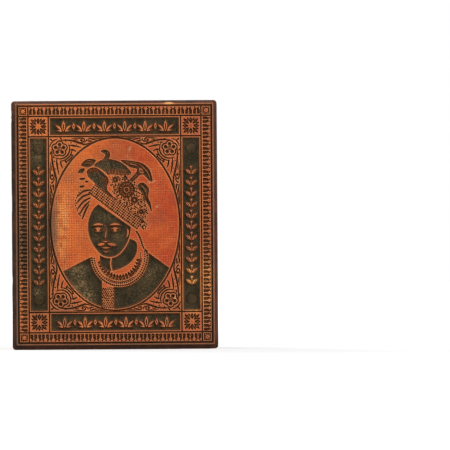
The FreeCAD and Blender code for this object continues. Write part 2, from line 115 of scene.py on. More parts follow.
def rim_order(columns, rows):
    """The numbers of a grid's edge points, once round from the lower left corner by way of the lower
    right."""
    number = np.arange(columns * rows).reshape(columns, rows)
    return np.concatenate([number[:-1, 0], number[-1, :-1], number[:0:-1, -1], number[0, :0:-1]])


def outward(x, z):
    """The outward direction at each point of a closed loop: its tangent turned by a quarter."""
    along_x, along_z = np.roll(x, -1) - np.roll(x, 1), np.roll(z, -1) - np.roll(z, 1)
    length = np.maximum(np.hypot(along_x, along_z), 1e-9)
    return along_z / length, -along_x / length


def band_quads(near, far):
    """The faces between two closed loops of point numbers."""
    return np.stack([near, np.roll(near, -1), np.roll(far, -1), far], axis=1)


def grid_corners(number):
    """The four corners of each cell of a grid of point numbers, once round from its lower left."""
    return np.stack([number[:-1, :-1], number[1:, :-1], number[1:, 1:], number[:-1, 1:]], axis=-1)


def sheet_quads(columns, rows):
    """The faces of a grid, turned towards -Y."""
    return grid_corners(np.arange(columns * rows).reshape(columns, rows)).reshape(-1, 4)


def in_a_row(*parts):
    """Arrays laid one after another in one row."""
    return np.concatenate([np.ravel(part) for part in parts])


def make_piece(name, points, quads, caps, spread, marks, material):
    """Makes a closed mesh from points in millimetres, faces of four and end caps of many corners. The
    finish's own map is the points' spread places, fitted into a square, with each cap drawn small in its
    lower corner."""
    mesh = bpy.data.meshes.new(name)
    mesh.from_pydata((points * mm).astype(np.float32), [], quads.tolist() + [cap.tolist() for cap in caps])
    corner = np.empty(len(mesh.loops), np.int32)
    mesh.loops.foreach_get("vertex_index", corner)
    place = (spread - spread.min(0)) / np.ptp(spread, axis=0).max() * (1 - 2 * map_margin) + map_margin
    place = place[corner]
    place[quads.size:] *= cap_map_scale
    mesh.uv_layers.new(name="OFBake").uv.foreach_set("vector", place.astype(np.float32).ravel())
    smooth = np.ones(len(mesh.polygons), bool)
    smooth[len(quads):] = False
    mesh.polygons.foreach_set("use_smooth", smooth)
    for mark, values in marks.items():
        store = mesh.attributes.new(mark, "FLOAT", "POINT")
        store.data.foreach_set("value", np.asarray(values, np.float32).ravel())
    mesh.materials.append(material)
    piece = bpy.data.objects.new(name, mesh)
    bpy.context.scene.collection.objects.link(piece)
    return piece


def wooden_body(name, low, high, radii, columns, rows, sink, marks, material):
    """A block of wood as one skin: the back is a grid that sinks by sink(x, z), its rim turns over the edge
    in a quarter circle, and rows of the rim run down the sides, worn in by grain, to a flat front."""
    area = (low[0], low[2], high[0], high[2])
    joined = np.array([area[0] > outer_left + 1, False, area[2] < outer_right - 1, False])
    inner_radii = np.maximum(np.array(radii) - wood_back_round, 0)
    inner_area = inset(area, np.where(joined, 0, wood_back_round))
    face_x, face_z = rounded_sheet(inner_area, inner_radii, columns, rows)
    rim = rim_order(columns, rows)
    rim_x, rim_z = face_x.ravel()[rim], face_z.ravel()[rim]
    out_x, out_z = (part.ravel()[rim] for part in rounded_sheet(area, radii, columns, rows))
    normal_x, normal_z = outward(out_x, out_z)
    long_side = np.abs(normal_x) > np.abs(normal_z)
    glued = (out_x > outer_left + 1e-3) & (out_x < outer_right - 1e-3) & (np.abs(normal_x) > 0.9)
    down = np.linspace(0, 1, wood_turn_rows + 1)[1:, None] * math.pi / 2
    turn_x = rim_x + (out_x - rim_x) * np.sin(down)
    turn_z = rim_z + (out_z - rim_z) * np.sin(down)
    turn_y = high[1] - wood_back_round * (1 - np.cos(down)) - sink(rim_x, rim_z) * np.cos(down)
    side_y = np.linspace(high[1] - wood_back_round, low[1], wood_side_rows + 1)[1:, None]
    along = np.where(long_side, out_z, out_x)
    grain = cloud(side_y / 0.35, along / np.where(long_side, 1.6, 0.35), 31) * 0.5
    grain = grain + cloud(side_y / 1.3 + 40, along / 3.1, 32) * 0.5 + 1
    fade = ease((high[1] - wood_back_round - side_y) / 0.8)
    worn_in = np.where(glued, 0, wood_side_wear * grain * fade)
    side_x, side_z = out_x - normal_x * worn_in, out_z - normal_z * worn_in
    loops_x, loops_z = np.vstack([turn_x, side_x]), np.vstack([turn_z, side_z])
    loops_y = np.vstack([turn_y, side_y + np.zeros_like(side_x)])
    points = np.stack([in_a_row(face_x, loops_x), in_a_row(high[1] - sink(face_x, face_z), loops_y),
                       in_a_row(face_z, loops_z)], axis=1)
    steps = np.linspace(0, high[1] - low[1], len(loops_y) + 1)[1:, None]
    spread = np.stack([in_a_row(face_x, out_x + normal_x * steps),
                       in_a_row(face_z, out_z + normal_z * steps)], axis=1)
    loops = columns * rows + np.arange(loops_y.size).reshape(loops_y.shape)
    ladder = [rim] + list(loops)
    quads = np.vstack([sheet_quads(columns, rows)[:, ::-1]]
                      + [band_quads(near, far) for near, far in zip(ladder, ladder[1:])])
    values = {mark: rule(*points.T) for mark, rule in marks.items()}
    values["polish"] = back_only(points[:, 1])
    values["lean"] = in_a_row(-grain_shift(face_x, face_z) * mm, np.zeros(loops_y.size))
    values["lines"] = in_a_row(line_share(face_x, face_z), np.ones(loops_y.size))
    return make_piece(name, points, quads, [loops[-1]], spread, values, material)


def feed(tree, made, sockets):
    """Feeds a node's sockets with values or with other nodes' outputs."""
    for key, value in dict(sockets).items():
        if isinstance(value, bpy.types.NodeSocket):
            tree.links.new(value, made.inputs[key])
        else:
            made.inputs[key].default_value = value


def node(tree, kind, sockets=(), **options):
    """Adds a shader node, sets its options and feeds its sockets."""
    made = tree.nodes.new(kind)
    for name, value in options.items():
        setattr(made, name, value)
    feed(tree, made, sockets)
    return made


def math_of(tree, kind, *values):
    """One step of arithmetic on values or outputs."""
    return node(tree, "ShaderNodeMath", enumerate(values), operation=kind).outputs[0]


def spread_of(tree, value, low, high, to_low=0.0, to_high=1.0):
    """A value taken from one range to another, and held at its ends."""
    sockets = {"Value": value, "From Min": low, "From Max": high, "To Min": to_low, "To Max": to_high}
    return node(tree, "ShaderNodeMapRange", sockets).outputs[0]


def blend_of(tree, share, first, second, kind="MIX"):
    """One colour laid over another by a share."""
    made = node(tree, "ShaderNodeMix", {0: share, 6: first, 7: second}, data_type="RGBA", blend_type=kind)
    return made.outputs[2]


def paint(red, green, blue):
    """A colour written as the eye sees it, 0 to 255, turned to the light it stands for."""
    parts = np.array([red, green, blue]) / 255
    return (*np.where(parts > 0.04045, ((parts + 0.055) / 1.055) ** 2.4, parts / 12.92), 1.0)


def mark_of(tree, name):
    """A value that the piece's own mesh carries."""
    return node(tree, "ShaderNodeAttribute", attribute_name=name).outputs["Fac"]


def grained(tree, along, across, roughness=0.6, detail=4.0, lean=None):
    """Noise in the piece's own place, stretched along the grain, which runs up the design. A lean moves it
    aside."""
    where = node(tree, "ShaderNodeTexCoord").outputs["Object"]
    if lean is not None:
        aside = node(tree, "ShaderNodeCombineXYZ", {"X": lean}).outputs[0]
        where = node(tree, "ShaderNodeVectorMath", {0: where, 1: aside}, operation="ADD").outputs[0]
    scale = (1 / (across * mm), 1 / (across * mm), 1 / (along * mm))
    stretched = node(tree, "ShaderNodeMapping", {"Vector": where, "Scale": scale}).outputs[0]
    sockets = {"Vector": stretched, "Scale": 1.0, "Detail": detail, "Roughness": roughness}
    return node(tree, "ShaderNodeTexNoise", sockets).outputs[0]


def new_group(name, floats_in, colours_in, floats_out, colours_out):
    """A node group with named inputs and outputs, and what comes in at its inputs."""
    group = bpy.data.node_groups.new(name, "ShaderNodeTree")
    for names, way, kind in ((floats_in, "INPUT", "Float"), (colours_in, "INPUT", "Color"),
                             (colours_out, "OUTPUT", "Color"), (floats_out, "OUTPUT", "Float")):
        for socket in names:
            group.interface.new_socket(socket, in_out=way, socket_type="NodeSocket" + kind)
    return group, node(group, "NodeGroupInput").outputs


fibre_marks = ("Streak", "Lean", "Lines", "Polish")


def make_fibre_group():
    """Fibres of old wood, short ones or, where Lines is 1, long ones, and plainer where Polish is 0: a tone
    from them and from the mesh's streaks, which add a painted highlight on the crests and painted shade in
    the hollows, their height, dark pores between them, and clumps that take stain more or less."""
    group, given = new_group("wood_fibres", fibre_marks, (), ("Tone", "Height", "Pores", "Clumps"), ())
    short = grained(group, 0.45, 0.066, 0.6, 3.0, given["Lean"])
    long = grained(group, 1.5, 0.07, 0.6, 3.0, given["Lean"])
    fine = math_of(group, "MULTIPLY_ADD", given["Lines"], math_of(group, "SUBTRACT", long, short), short)
    clumps = grained(group, 1.5, 0.16, 0.6, 3.0, given["Lean"])
    pores = spread_of(group, grained(group, 0.5, 0.065, 0.5, 2.0, given["Lean"]), 0.4, 0.3)
    centred = math_of(group, "SUBTRACT", clumps, 0.5)
    weight = spread_of(group, given["Lines"], 0.0, 1.0, 0.55, 0.25)
    both = math_of(group, "MULTIPLY_ADD", centred, weight, fine)
    strength = spread_of(group, given["Polish"], 0.0, 1.0, 1.7, 5.0)
    noise = math_of(group, "MULTIPLY_ADD", math_of(group, "SUBTRACT", both, 0.5), strength, 0.5)
    # the mesh's streaks follow its height: painted highlight on the crests, painted shade in the hollows
    tone = math_of(group, "MULTIPLY_ADD", given["Streak"], 0.22, noise)
    spread = spread_of(group, given["Polish"], 0.0, 1.0, 0.8, 2.2)
    node(group, "NodeGroupOutput", {
        "Tone": spread_of(group, tone, 0.0, 1.0), "Pores": pores,
        "Height": math_of(group, "SUBTRACT", fine, math_of(group, "MULTIPLY", pores, 0.4)),
        "Clumps": math_of(group, "MULTIPLY", centred, spread)})
    return group


fibre_group = make_fibre_group()


def new_material(name):
    """A new material, with its node tree and its shader."""
    material = bpy.data.materials.new(name)
    material.use_nodes = True
    return material, material.node_tree, material.node_tree.nodes["Principled BSDF"]


pore_brown = paint(40, 24, 15)
bare_wood_and_glint = paint(236, 194, 134)
black_grime = paint(27, 21, 18)


def make_wood_material(name, pale, warm, stained):
    """Old wood, polished by use. Each zone has a dark, a middle and a light tone; the light tone is partly a
    painted highlight, the glints of the polished fibres. The marks on the mesh lay the zones over one
    another, the fibres choose the tone, and bare and black marks lie over it all."""
    material, tree, shader = new_material(name)
    marks = {key: mark_of(tree, key.lower()) for key in fibre_marks}
    fibres = node(tree, "ShaderNodeGroup", marks, node_tree=fibre_group).outputs
    tone, clumps = fibres["Tone"], fibres["Clumps"]
    warmth = spread_of(tree, math_of(tree, "MULTIPLY_ADD", clumps, -0.8, mark_of(tree, "warm")), 0.0, 1.0)
    stain = spread_of(tree, math_of(tree, "MULTIPLY_ADD", clumps, -0.9, mark_of(tree, "stain")), 0.0, 1.0)
    tones = []
    for pale_tone, warm_tone, stained_tone in zip(pale, warm, stained):
        clean = blend_of(tree, warmth, paint(*pale_tone), paint(*warm_tone))
        tones.append(blend_of(tree, stain, clean, paint(*stained_tone)))
    colour = blend_of(tree, spread_of(tree, tone, 0.12, 0.5), tones[0], tones[1])
    # the light tone, partly painted highlight, lies on the fibres' crests
    colour = blend_of(tree, spread_of(tree, tone, 0.5, 0.9), colour, tones[2])
    colour = blend_of(tree, math_of(tree, "MULTIPLY", fibres["Pores"], 0.55), colour, pore_brown)
    # bare: worn pale wood, and painted glints on the gouge's lip
    colour = blend_of(tree, mark_of(tree, "bare"), colour, bare_wood_and_glint)
    colour = blend_of(tree, mark_of(tree, "black"), colour, black_grime)
    bump = node(tree, "ShaderNodeBump", {"Strength": 0.8, "Distance": 0.07 * mm, "Height": fibres["Height"]})
    feed(tree, shader, {
        "Base Color": colour, "Roughness": spread_of(tree, marks["Polish"], 0.0, 1.0, 0.75, 0.25),
        "Specular IOR Level": 0.22, "Normal": bump.outputs[0]})
    return material


gouge_line = [(10.0, 24.1), (8.9, 24.8), (7.6, 25.6), (6.4, 26.05), (5.3, 25.8), (4.6, 25.4)]
scratch_line = [(1.3, 18.4), (-0.2, 20.2), (-1.65, 22.0)]
faint_scratches = [[(-4.1, 20.9), (-6.1, 17.3)], [(5.3, 11.6), (3.9, 14.6)]]


def line_distance(x, z, line):
    """The least distance to a line of straight runs, and how far along it, from 0 to 1, the nearest place
    is."""
    best = np.full(np.broadcast(x, z).shape, 1e3)
    share = np.zeros(best.shape)
    runs = len(line) - 1
    for index, (start, end) in enumerate(zip(line, line[1:])):
        step = np.subtract(end, start)
        reach = np.clip(((x - start[0]) * step[0] + (z - start[1]) * step[1]) / (step @ step), 0, 1)
        gap = np.hypot(x - start[0] - reach * step[0], z - start[1] - reach * step[1])
        share = np.where(gap < best, (index + reach) / runs, share)
        best = np.minimum(best, gap)
    return best, share


def grain_shift(x, z):
    """How far the grain has moved sideways at each height: it leans by a tenth, and by a quarter above the
    foot, and a quarter as much at the free edge."""
    return (0.1 * z + 0.14 * np.maximum(z - 5, 0)) * (0.25 + 0.75 * ease((x + 12) / 23))


def line_share(x, z):
    """How far the back's fibres are long straight ones: mostly at the foot and towards the free edge."""
    return np.clip(0.35 + 0.4 * ease((9 - z) / 6) + 0.25 * ease((-3 - x) / 4), 0, 0.75)


def block_streaks(x, z):
    """The fibres' streaks from -1 to 1: two sizes of noise drawn out along the leaning grain."""
    leant = x - grain_shift(x, z) + 0.12 * cloud(x / 1.2, z / 1.6, 3)
    return 0.6 * cloud(leant / 0.2, z / 0.42, 1) + 0.6 * cloud(leant / 0.42 + 9, z / 1.1, 2)


def block_sink(x, z):
    """How far the block's worn back lies below its highest fibres: streaks along the grain, slow hollows, a
    gouge with a raised lip, scratches, and an arris worn off along the glue joint."""
    coarse = cloud(x / 0.75, z / 2.7, 4)
    hollow = cloud(x / 4.5 + 5, z / 5.5, 5)
    depth = 0.1 - 0.035 * block_streaks(x, z) + 0.02 * coarse + 0.02 * hollow
    gap, share = line_distance(x, z, gouge_line)
    wide = 0.1 + 0.16 * np.sin(np.pi * share)
    depth = depth + 0.22 * np.exp(-(gap / wide) ** 2) * (0.3 + np.sin(np.pi * share))
    depth = depth - 0.07 * np.exp(-((gap - 0.38) / 0.12) ** 2)
    gap, share = line_distance(x, z, scratch_line)
    depth = depth + 0.16 * np.exp(-(gap / 0.1) ** 2)
    for line in faint_scratches:
        gap, share = line_distance(x, z, line)
        depth = depth + 0.05 * np.exp(-(gap / 0.07) ** 2) * np.sin(np.pi * share)
    arris = np.exp(-((x - joint_x) / 0.16) ** 2)
    return np.maximum(depth + 0.12 * arris, 0)


def back_only(y):
    """1 on the worn back and 0 down the sides."""
    return ease((y - wood_back_y + 0.9) / 0.7)


def side_streaks(x, y, z):
    """Streaks of the sides from -1 to 1: along the grain on the long sides, arcs of yearly rings on the two
    ends."""
    long_side = 0.7 * cloud((x + y) / 0.5, z / 2.4, 18) + 0.3 * cloud((x - y) / 1.4, z / 6.0, 19)
    rings = np.sin(2 * np.pi * (np.hypot(x + 31, y - 38) + 0.35 * cloud(x / 3.0, y / 3.0, 20)) / 1.35)
    end = np.minimum(z, wood_height - z) < 0.35
    return np.where(end, 0.55 * rings, long_side)


def block_streak(x, y, z):
    """On the back, pale on the crests of the fibres and dark between them, as the back's height goes: partly
    worn crests, partly painted highlight and painted shade. On the sides, the grain's streaks and rings.
    """
    side = side_streaks(x, y, z)
    return side + (0.6 * block_streaks(x, z) - side) * back_only(y)


clear_patches = ((0.75, (2.6, 28.9), (3.8, 1.5)), (0.8, (4.6, 18.6), (1.0, 1.4)))
stain_spots = ((0.7, (-6.9, 12.7), (0.6, 1.0), 60), (0.4, (-3.2, 10.6), (2.2, 0.5), 8),
               (0.5, (6.8, 16.6), (0.8, 1.1)), (0.45, (2.9, 15.1), (0.8, 0.7)))


def block_stain(x, y, z):
    """Ink stain: a band down the glue joint, and a cloud over the upper half that ends in a ragged upright
    edge and then steps down across the grain; the sides are stained towards the plate."""
    ragged = 0.45 * cloud(x / 0.55, z / 1.9, 11) + 0.3 * cloud(x / 0.22, z / 0.8, 12)
    cloudy = cloud(x / 1.8, z / 2.4, 10)
    band = ease((x - 8.3 + 0.7 * ragged) / 1.1)
    right_edge = ease((x + 3.55 + 0.4 * ragged) / 0.25)
    slope = ease(((z - 12.4) - 0.98 * (5.9 - x) + 2.2 * ragged) / 2.6)
    uneven = np.clip(0.76 + 0.3 * ragged + 0.2 * cloudy, 0, 1)
    upper = right_edge * slope * uneven * (1 - 0.85 * np.clip(patches(x, z, clear_patches), 0, 1))
    upper = upper * (0.72 + 0.28 * ease((x + 1) / 9)) + 0.3 * right_edge * blot(x, z, (-3.0, 24.6), (0.8, 2.6))
    spots = patches(x, z, stain_spots) * ease(0.6 + ragged)
    foot = 0.22 * ease((6.5 - z) / 4)
    back = np.clip(np.maximum.reduce([band * 0.97, upper, spots, 0.08 + 0.18 * cloudy + foot]), 0, 1)
    side = 0.4 + 0.3 * cloud(y / 3.0, z / 4.0, 13) + 0.35 * ease((y + 4) / -6)
    return np.clip(side + (back - side) * back_only(y), 0, 1)


def block_warm(x, y, z):
    """Orange-brown wood towards the free edge and the foot, pinkish grey in the middle of the back."""
    ragged = 0.4 * cloud(x / 1.3, z / 3.4, 14) + 0.25 * cloud(x / 0.5, z / 1.4, 15)
    edge = ease((-2.6 - 2.6 * np.exp(-((z - 14) / 6.5) ** 2) - x + 3.4 * ragged) / 4.2)
    foot = ease((10.5 - z + 4 * ragged) / 8.0)
    top = ease((z - 25.6 + 1.5 * ragged) / 2.0)
    gap, share = line_distance(x, z, gouge_line)
    gouge = np.exp(-(gap / 0.3) ** 2)
    back = np.clip(np.maximum.reduce([edge, foot, 0.9 * top, gouge]) + 0.13 + 0.3 * ragged, 0, 1)
    return 0.75 + (back - 0.75) * back_only(y)


def block_bare_and_glints(x, y, z):
    """Bare pale wood on the worn free edge, and two painted glints on the lip of the gouge."""
    ragged = ease(0.4 + 1.3 * cloud(x / 0.3, z / 0.9, 16))
    edge = np.exp(-((x - outer_left - 0.46) / 0.13) ** 2) * ragged * (0.7 + 0.3 * np.exp(-((z - 25) / 5) ** 2))
    gap, share = line_distance(x, z, gouge_line)
    # painted glints: two bright spots along the gouge's lip
    glints = np.exp(-((share - 0.62) / 0.03) ** 2) + 0.5 * np.exp(-((share - 0.51) / 0.03) ** 2)
    lip = np.exp(-((gap - 0.08) / 0.1) ** 2) * glints
    return np.clip(edge + lip, 0, 1) * back_only(y)


def block_black(x, y, z):
    """Black grime down in the joint and in the band beside it, in the scratches and in the gouge."""
    joint = ease(1 - (joint_x - x) / (0.5 + 0.16 * cloud(z / 1.7, 0, 17))) * (0.6 + 0.35 * ease((z - 9) / 14))
    gap, share = line_distance(x, z, scratch_line)
    scratch = 0.85 * np.exp(-(gap / 0.16) ** 2)
    gap, share = line_distance(x, z, gouge_line)
    gouge = 0.7 * np.exp(-(gap / 0.15) ** 2) * (1 - 0.9 * np.exp(-((share - 0.57) / 0.1) ** 2))
    band = 0.78 * ease((x - 8.9 + 0.4 * cloud(x / 0.4, z / 1.2, 29)) / 0.8)
    band = band * (0.8 + 0.35 * cloud(x / 0.2, z / 0.4, 30))
    return np.clip(np.maximum.reduce([joint, scratch, gouge, band]), 0, 1) * back_only(y)


# The block's tones, dark, middle and light for each zone; the light ones are partly painted glints of the
# polished fibres.
block_wood = make_wood_material(
    "block_wood", ((86, 46, 26), (170, 108, 70), (246, 192, 154)),
    ((74, 25, 0), (166, 78, 11), (242, 147, 52)), ((22, 18, 15), (60, 46, 36), (150, 119, 95)))
block_marks = {"streak": block_streak, "stain": block_stain, "warm": block_warm, "bare": block_bare_and_glints,
               "black": block_black}
block_radii = (wood_corner_round, 0, 0, wood_corner_round)
mount_block = wooden_body("mount_block_worn", block_low, block_high, block_radii, block_columns, block_rows,
                          block_sink, block_marks, block_wood)
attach(mount_block, "root")
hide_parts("mount_block")

# The edge slip: a narrow strip of the same wood, glued down one long side to bring the block to width. Its
# face is scraped crosswise, darker than the block's and golden where it is rubbed.
slip_low, slip_high = (np.array(corner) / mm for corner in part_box("edge_slip"))
slip_columns = 24
slip_rows = 260


def slip_ridges(x, z):
    """The scraped ridges from -1 to 1: two sets of short ridges that cross at a slant."""
    lean = 0.3 * cloud(z / 2.3, x / 2.0, 21)
    first = cloud((x + 0.5 * z) / 0.2, (z - 0.4 * x + lean) / 0.3, 22)
    return 0.6 * first + 0.6 * cloud((x - 0.6 * z) / 0.22, (z + 0.5 * x) / 0.34, 23)


def slip_sink(x, z):
    """How far the slip's back lies below its highest ridges, with the arris along the joint worn off."""
    arris = np.exp(-((x - joint_x) / 0.14) ** 2)
    return np.maximum(0.07 - 0.05 * slip_ridges(x, z) + 0.12 * arris, 0)


def slip_streak(x, y, z):
    """On the back, pale on the scraped ridges and dark between them, as the slip's height goes: partly wear,
    partly painted highlight and painted shade. On the sides, the grain's streaks and rings.
    """
    side = side_streaks(x, y, z)
    return side + (2.8 * slip_ridges(x, z) - side) * back_only(y)


def slip_stain(x, y, z):
    """Uneven stain, heavier at the foot and near the outer edge."""
    ragged = cloud(x / 0.4, z / 0.8, 24)
    back = 0.3 + 0.4 * ragged + 0.5 * ease((x - outer_right + 0.5) / 0.5) + 0.25 * ease((5 - z) / 5)
    side = 0.62 + 0.3 * cloud(y / 3.0, z / 4.0, 28)
    return np.clip(side + (back - side) * back_only(y), 0, 1)


def slip_warm(x, y, z):
    """Golden where rubbed, in short lengths."""
    return np.clip(0.45 + 0.5 * cloud(x / 0.7, z / 1.6, 25), 0, 1)


def slip_bare_and_glints(x, y, z):
    """Rubbed pale flecks, which also stand as painted glints on the scraped face."""
    return 0.45 * ease(cloud(x / 0.16, z / 0.22, 26) * 1.6 - 0.6) * back_only(y)


def slip_black(x, y, z):
    """Near black over the rounded outer edge, painted shade of the rounding as well as the plate's ink that
    has run down it, and beside the joint.
    """
    # outer: painted shade over the rounded edge, together with the ink run down it
    outer = ease((x - outer_right + 0.52) / 0.2)
    joint = ease((joint_x + 0.16 - x) / 0.12)
    return np.clip(np.maximum(outer * (0.25 + 0.65 * back_only(y)), joint), 0, 1)


# The slip's tones, dark, middle and light for each zone; the light ones are partly painted glints.
slip_wood = make_wood_material(
    "slip_wood", ((36, 24, 16), (80, 58, 40), (188, 150, 112)),
    ((48, 26, 9), (95, 60, 27), (202, 144, 79)), ((20, 16, 13), (43, 34, 26), (98, 80, 63)))
slip_marks = {"streak": slip_streak, "stain": slip_stain, "warm": slip_warm, "bare": slip_bare_and_glints,
              "black": slip_black}
slip_radii = (0, wood_corner_round, wood_corner_round, 0)
edge_slip = wooden_body("edge_slip_worn", slip_low, slip_high, slip_radii, slip_columns, slip_rows, slip_sink,
                        slip_marks, slip_wood)
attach(edge_slip, "root")
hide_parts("edge_slip")

# The glue line: a film of dark hide glue between slip and block, shrunk a little below the wood's back.
glue_low, glue_high = (np.array(corner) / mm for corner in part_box("glue_line"))
glue_columns = 5
glue_rows = 200


def glue_sink(x, z):
    """How far the dried glue has shrunk below the wood's back: more in the middle of the film, in slow
    waves."""
    return 0.2 + 0.06 * cloud(z / 1.3, x / 0.4, 27)


def make_glue_material():
    """Dried hide glue: near black brown, glossy where it is thick, with dust caught in it."""
    material, tree, shader = new_material("dried_glue")
    dust = grained(tree, 0.5, 0.2)
    bump = node(tree, "ShaderNodeBump", {"Strength": 0.4, "Distance": 0.03 * mm, "Height": dust})
    feed(tree, shader, {
        "Base Color": blend_of(tree, spread_of(tree, dust, 0.45, 0.75), paint(30, 22, 17), paint(84, 62, 42)),
        "Roughness": spread_of(tree, dust, 0.3, 0.7, 0.3, 0.6), "Normal": bump.outputs[0]})
    return material


glue_radii = (0, 0, 0, 0)
glue_line = wooden_body("glue_line_dried", glue_low, glue_high, glue_radii, glue_columns, glue_rows, glue_sink,
                        {}, make_glue_material())
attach(glue_line, "root")
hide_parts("glue_line")

# The plate's body: rolled copper, its edge filed to a bevel below the printing face so that it takes no
# ink. The bevel is dark with old ink, dented by the furniture it was locked against, and red where it is
# freshly rubbed.
plate_low, plate_high = (np.array(corner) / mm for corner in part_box("face_plate"))
face_y = plate_low[1]
relief_depth = 0.35
floor_y = face_y + relief_depth
bed_y = floor_y + 0.1                       # where the face's panels stand on the bevelled body
foot_height = 0.5
bevels = (0.53, 0.56, 0.39, 0.36)           # left, bottom, right, top
print_corner_round = 0.12
lip = 0.08                                  # the outer rule's rounded edge, made with the bevel
plate_area = (plate_low[0], plate_low[2], plate_high[0], plate_high[2])
print_area = inset(plate_area, bevels)
bevel_columns = 240
bevel_rows = 290
foot_row_shares = (0, 0.3, 0.6, 0.85, 0.97)
bevel_row_shares = (0.04, 0.12, 0.25, 0.4, 0.55, 0.7, 0.85, 0.95)
lip_shares = ((0, 0.06), (0.02, 0.4), (0.06, 0.72), (0.2, 0.92), (0.5, 0.985), (1, 1))
dents = ((outer_left, 28.42, 0.16, 0.16), (outer_left, 27.58, 0.12, 0.13), (outer_left, 17.6, 0.06, 0.9),
         (outer_right, 0.1, 0.3, 0.42), (outer_right, 21.4, 0.05, 0.8), (outer_left, 8.4, 0.05, 0.5))


def plate_body_points():
    """The bevel as loops of the plate's rim: each loop is a share of the way from the plate's outline to
    the design's, lowered by its own height, with dents pressed in along the outward direction."""
    rim = rim_order(bevel_columns, bevel_rows)
    foot, top, inner = (
        np.array([part.ravel()[rim] for part in rounded_sheet(area, [radius] * 4, bevel_columns, bevel_rows)])
        for area, radius in ((plate_area, wood_corner_round), (print_area, print_corner_round),
                             (inset(print_area, lip), 0)))
    normal_x, normal_z = outward(*foot)
    foot_y = plate_high[1] - foot_height
    stations = [(0, plate_high[1] - share * foot_height) for share in foot_row_shares]
    stations += [(share, foot_y + (floor_y - foot_y) * share) for share in bevel_row_shares]
    rows = [foot + (top - foot) * share for share, y in stations]
    rows += [top + (inner - top) * share for share, height in lip_shares]
    x, z = np.array(rows).transpose(1, 0, 2)
    lip_y = [floor_y - height * relief_depth for share, height in lip_shares]
    y = np.array([y for share, y in stations] + lip_y)
    y = y[:, None] + np.zeros_like(x)
    where = np.where(np.abs(normal_x) > np.abs(normal_z), foot[1], foot[0])
    waves = 0.5 + 0.3 * cloud(where / 1.7, y / 0.9, 41) + 0.2 * cloud(where / 0.35, y / 0.3, 42)
    press = 0.022 * waves
    for dent_x, dent_z, depth, reach in dents:
        press = press + depth * np.exp(-((foot[0] - dent_x) ** 2 + (foot[1] - dent_z) ** 2) / reach ** 2)
    press = press * ease((y - floor_y) / 0.12)
    return x - normal_x * press, y, z - normal_z * press, normal_x, normal_z


# Dull patches by strength, middle and reaches; the two near the lower corners make the lower spandrels darker.
dull_patches = ((1.05, (-7.5, 14.4), (0.85, 3.9)), (0.8, (-11.0, 13.6), (0.9, 5.5)),
                (0.45, (-9.4, 6.5), (1.2, 5.0)), (0.3, (-11.0, 23.0), (1.0, 5.0)),
                (0.4, (-6.6, 4.6), (2.0, 2.2)), (0.3, (7.4, 4.6), (2.4, 2.4)),
                (0.14, (-5.5, 20.5), (2.2, 3.4)))
# Golden patches by strength, middle and reaches; the two on the lower right tablet are painted highlights.
golden_patches = ((0.3, (-6.2, 16.0), (0.7, 2.6)), (0.22, (-6.4, 12.2), (0.5, 2.6)),
                  (0.9, (9.3, 7.4), (0.9, 2.7)), (0.5, (11.0, 8.0), (0.6, 3.4)))


def copper_tones(x, z):
    """Shares that change slowly over the face: how red the copper is, how dull, and how golden, which is
    rubbed metal and, on the lower right tablet, painted highlight.
    """
    redness = 0.22 + 0.034 * (x + 12) - 0.008 * (z - 15) + 0.22 * cloud(x / 3.4, z / 3.4, 51)
    redness = redness - 0.2 * blot(x, z, (-4.2, 21.0), (3.2, 4.0))
    left, bottom, right, top = print_area
    rim = ease((0.42 - np.minimum.reduce([x - left, right - x, z - bottom, 2 * (top - z) + 0.2])) / 0.2)
    dull = patches(x, z, dull_patches) + 0.22 * ease(cloud(x / 1.9, z / 2.6, 52))
    dull = dull + 0.22 * ease((2.1 - z) / 0.5) + 0.12 * ease((np.abs(x) - 10.6) / 0.3)
    dull = dull + (0.5 + 0.35 * ease((-11 - x) / 0.6)) * rim
    golden = patches(x, z, golden_patches) * ease(0.75 + 0.9 * cloud(x / 0.4, z / 0.5, 53))
    return np.clip(redness, 0, 1), np.clip(dull, 0, 1), np.clip(golden, 0, 1)


bright_orange = paint(222, 116, 54)
deep_red = paint(184, 74, 42)
tan_of_wear_and_highlight = paint(202, 142, 96)
dull_brown = paint(91, 76, 61)
rubbed_gold_and_glint = paint(255, 184, 104)
olive_fleck = paint(108, 92, 62)
pale_deposit_and_highlight = paint(176, 144, 98)
copper_marks = ("Raised", "Edge", "Redness", "Dull", "Golden", "Pale")


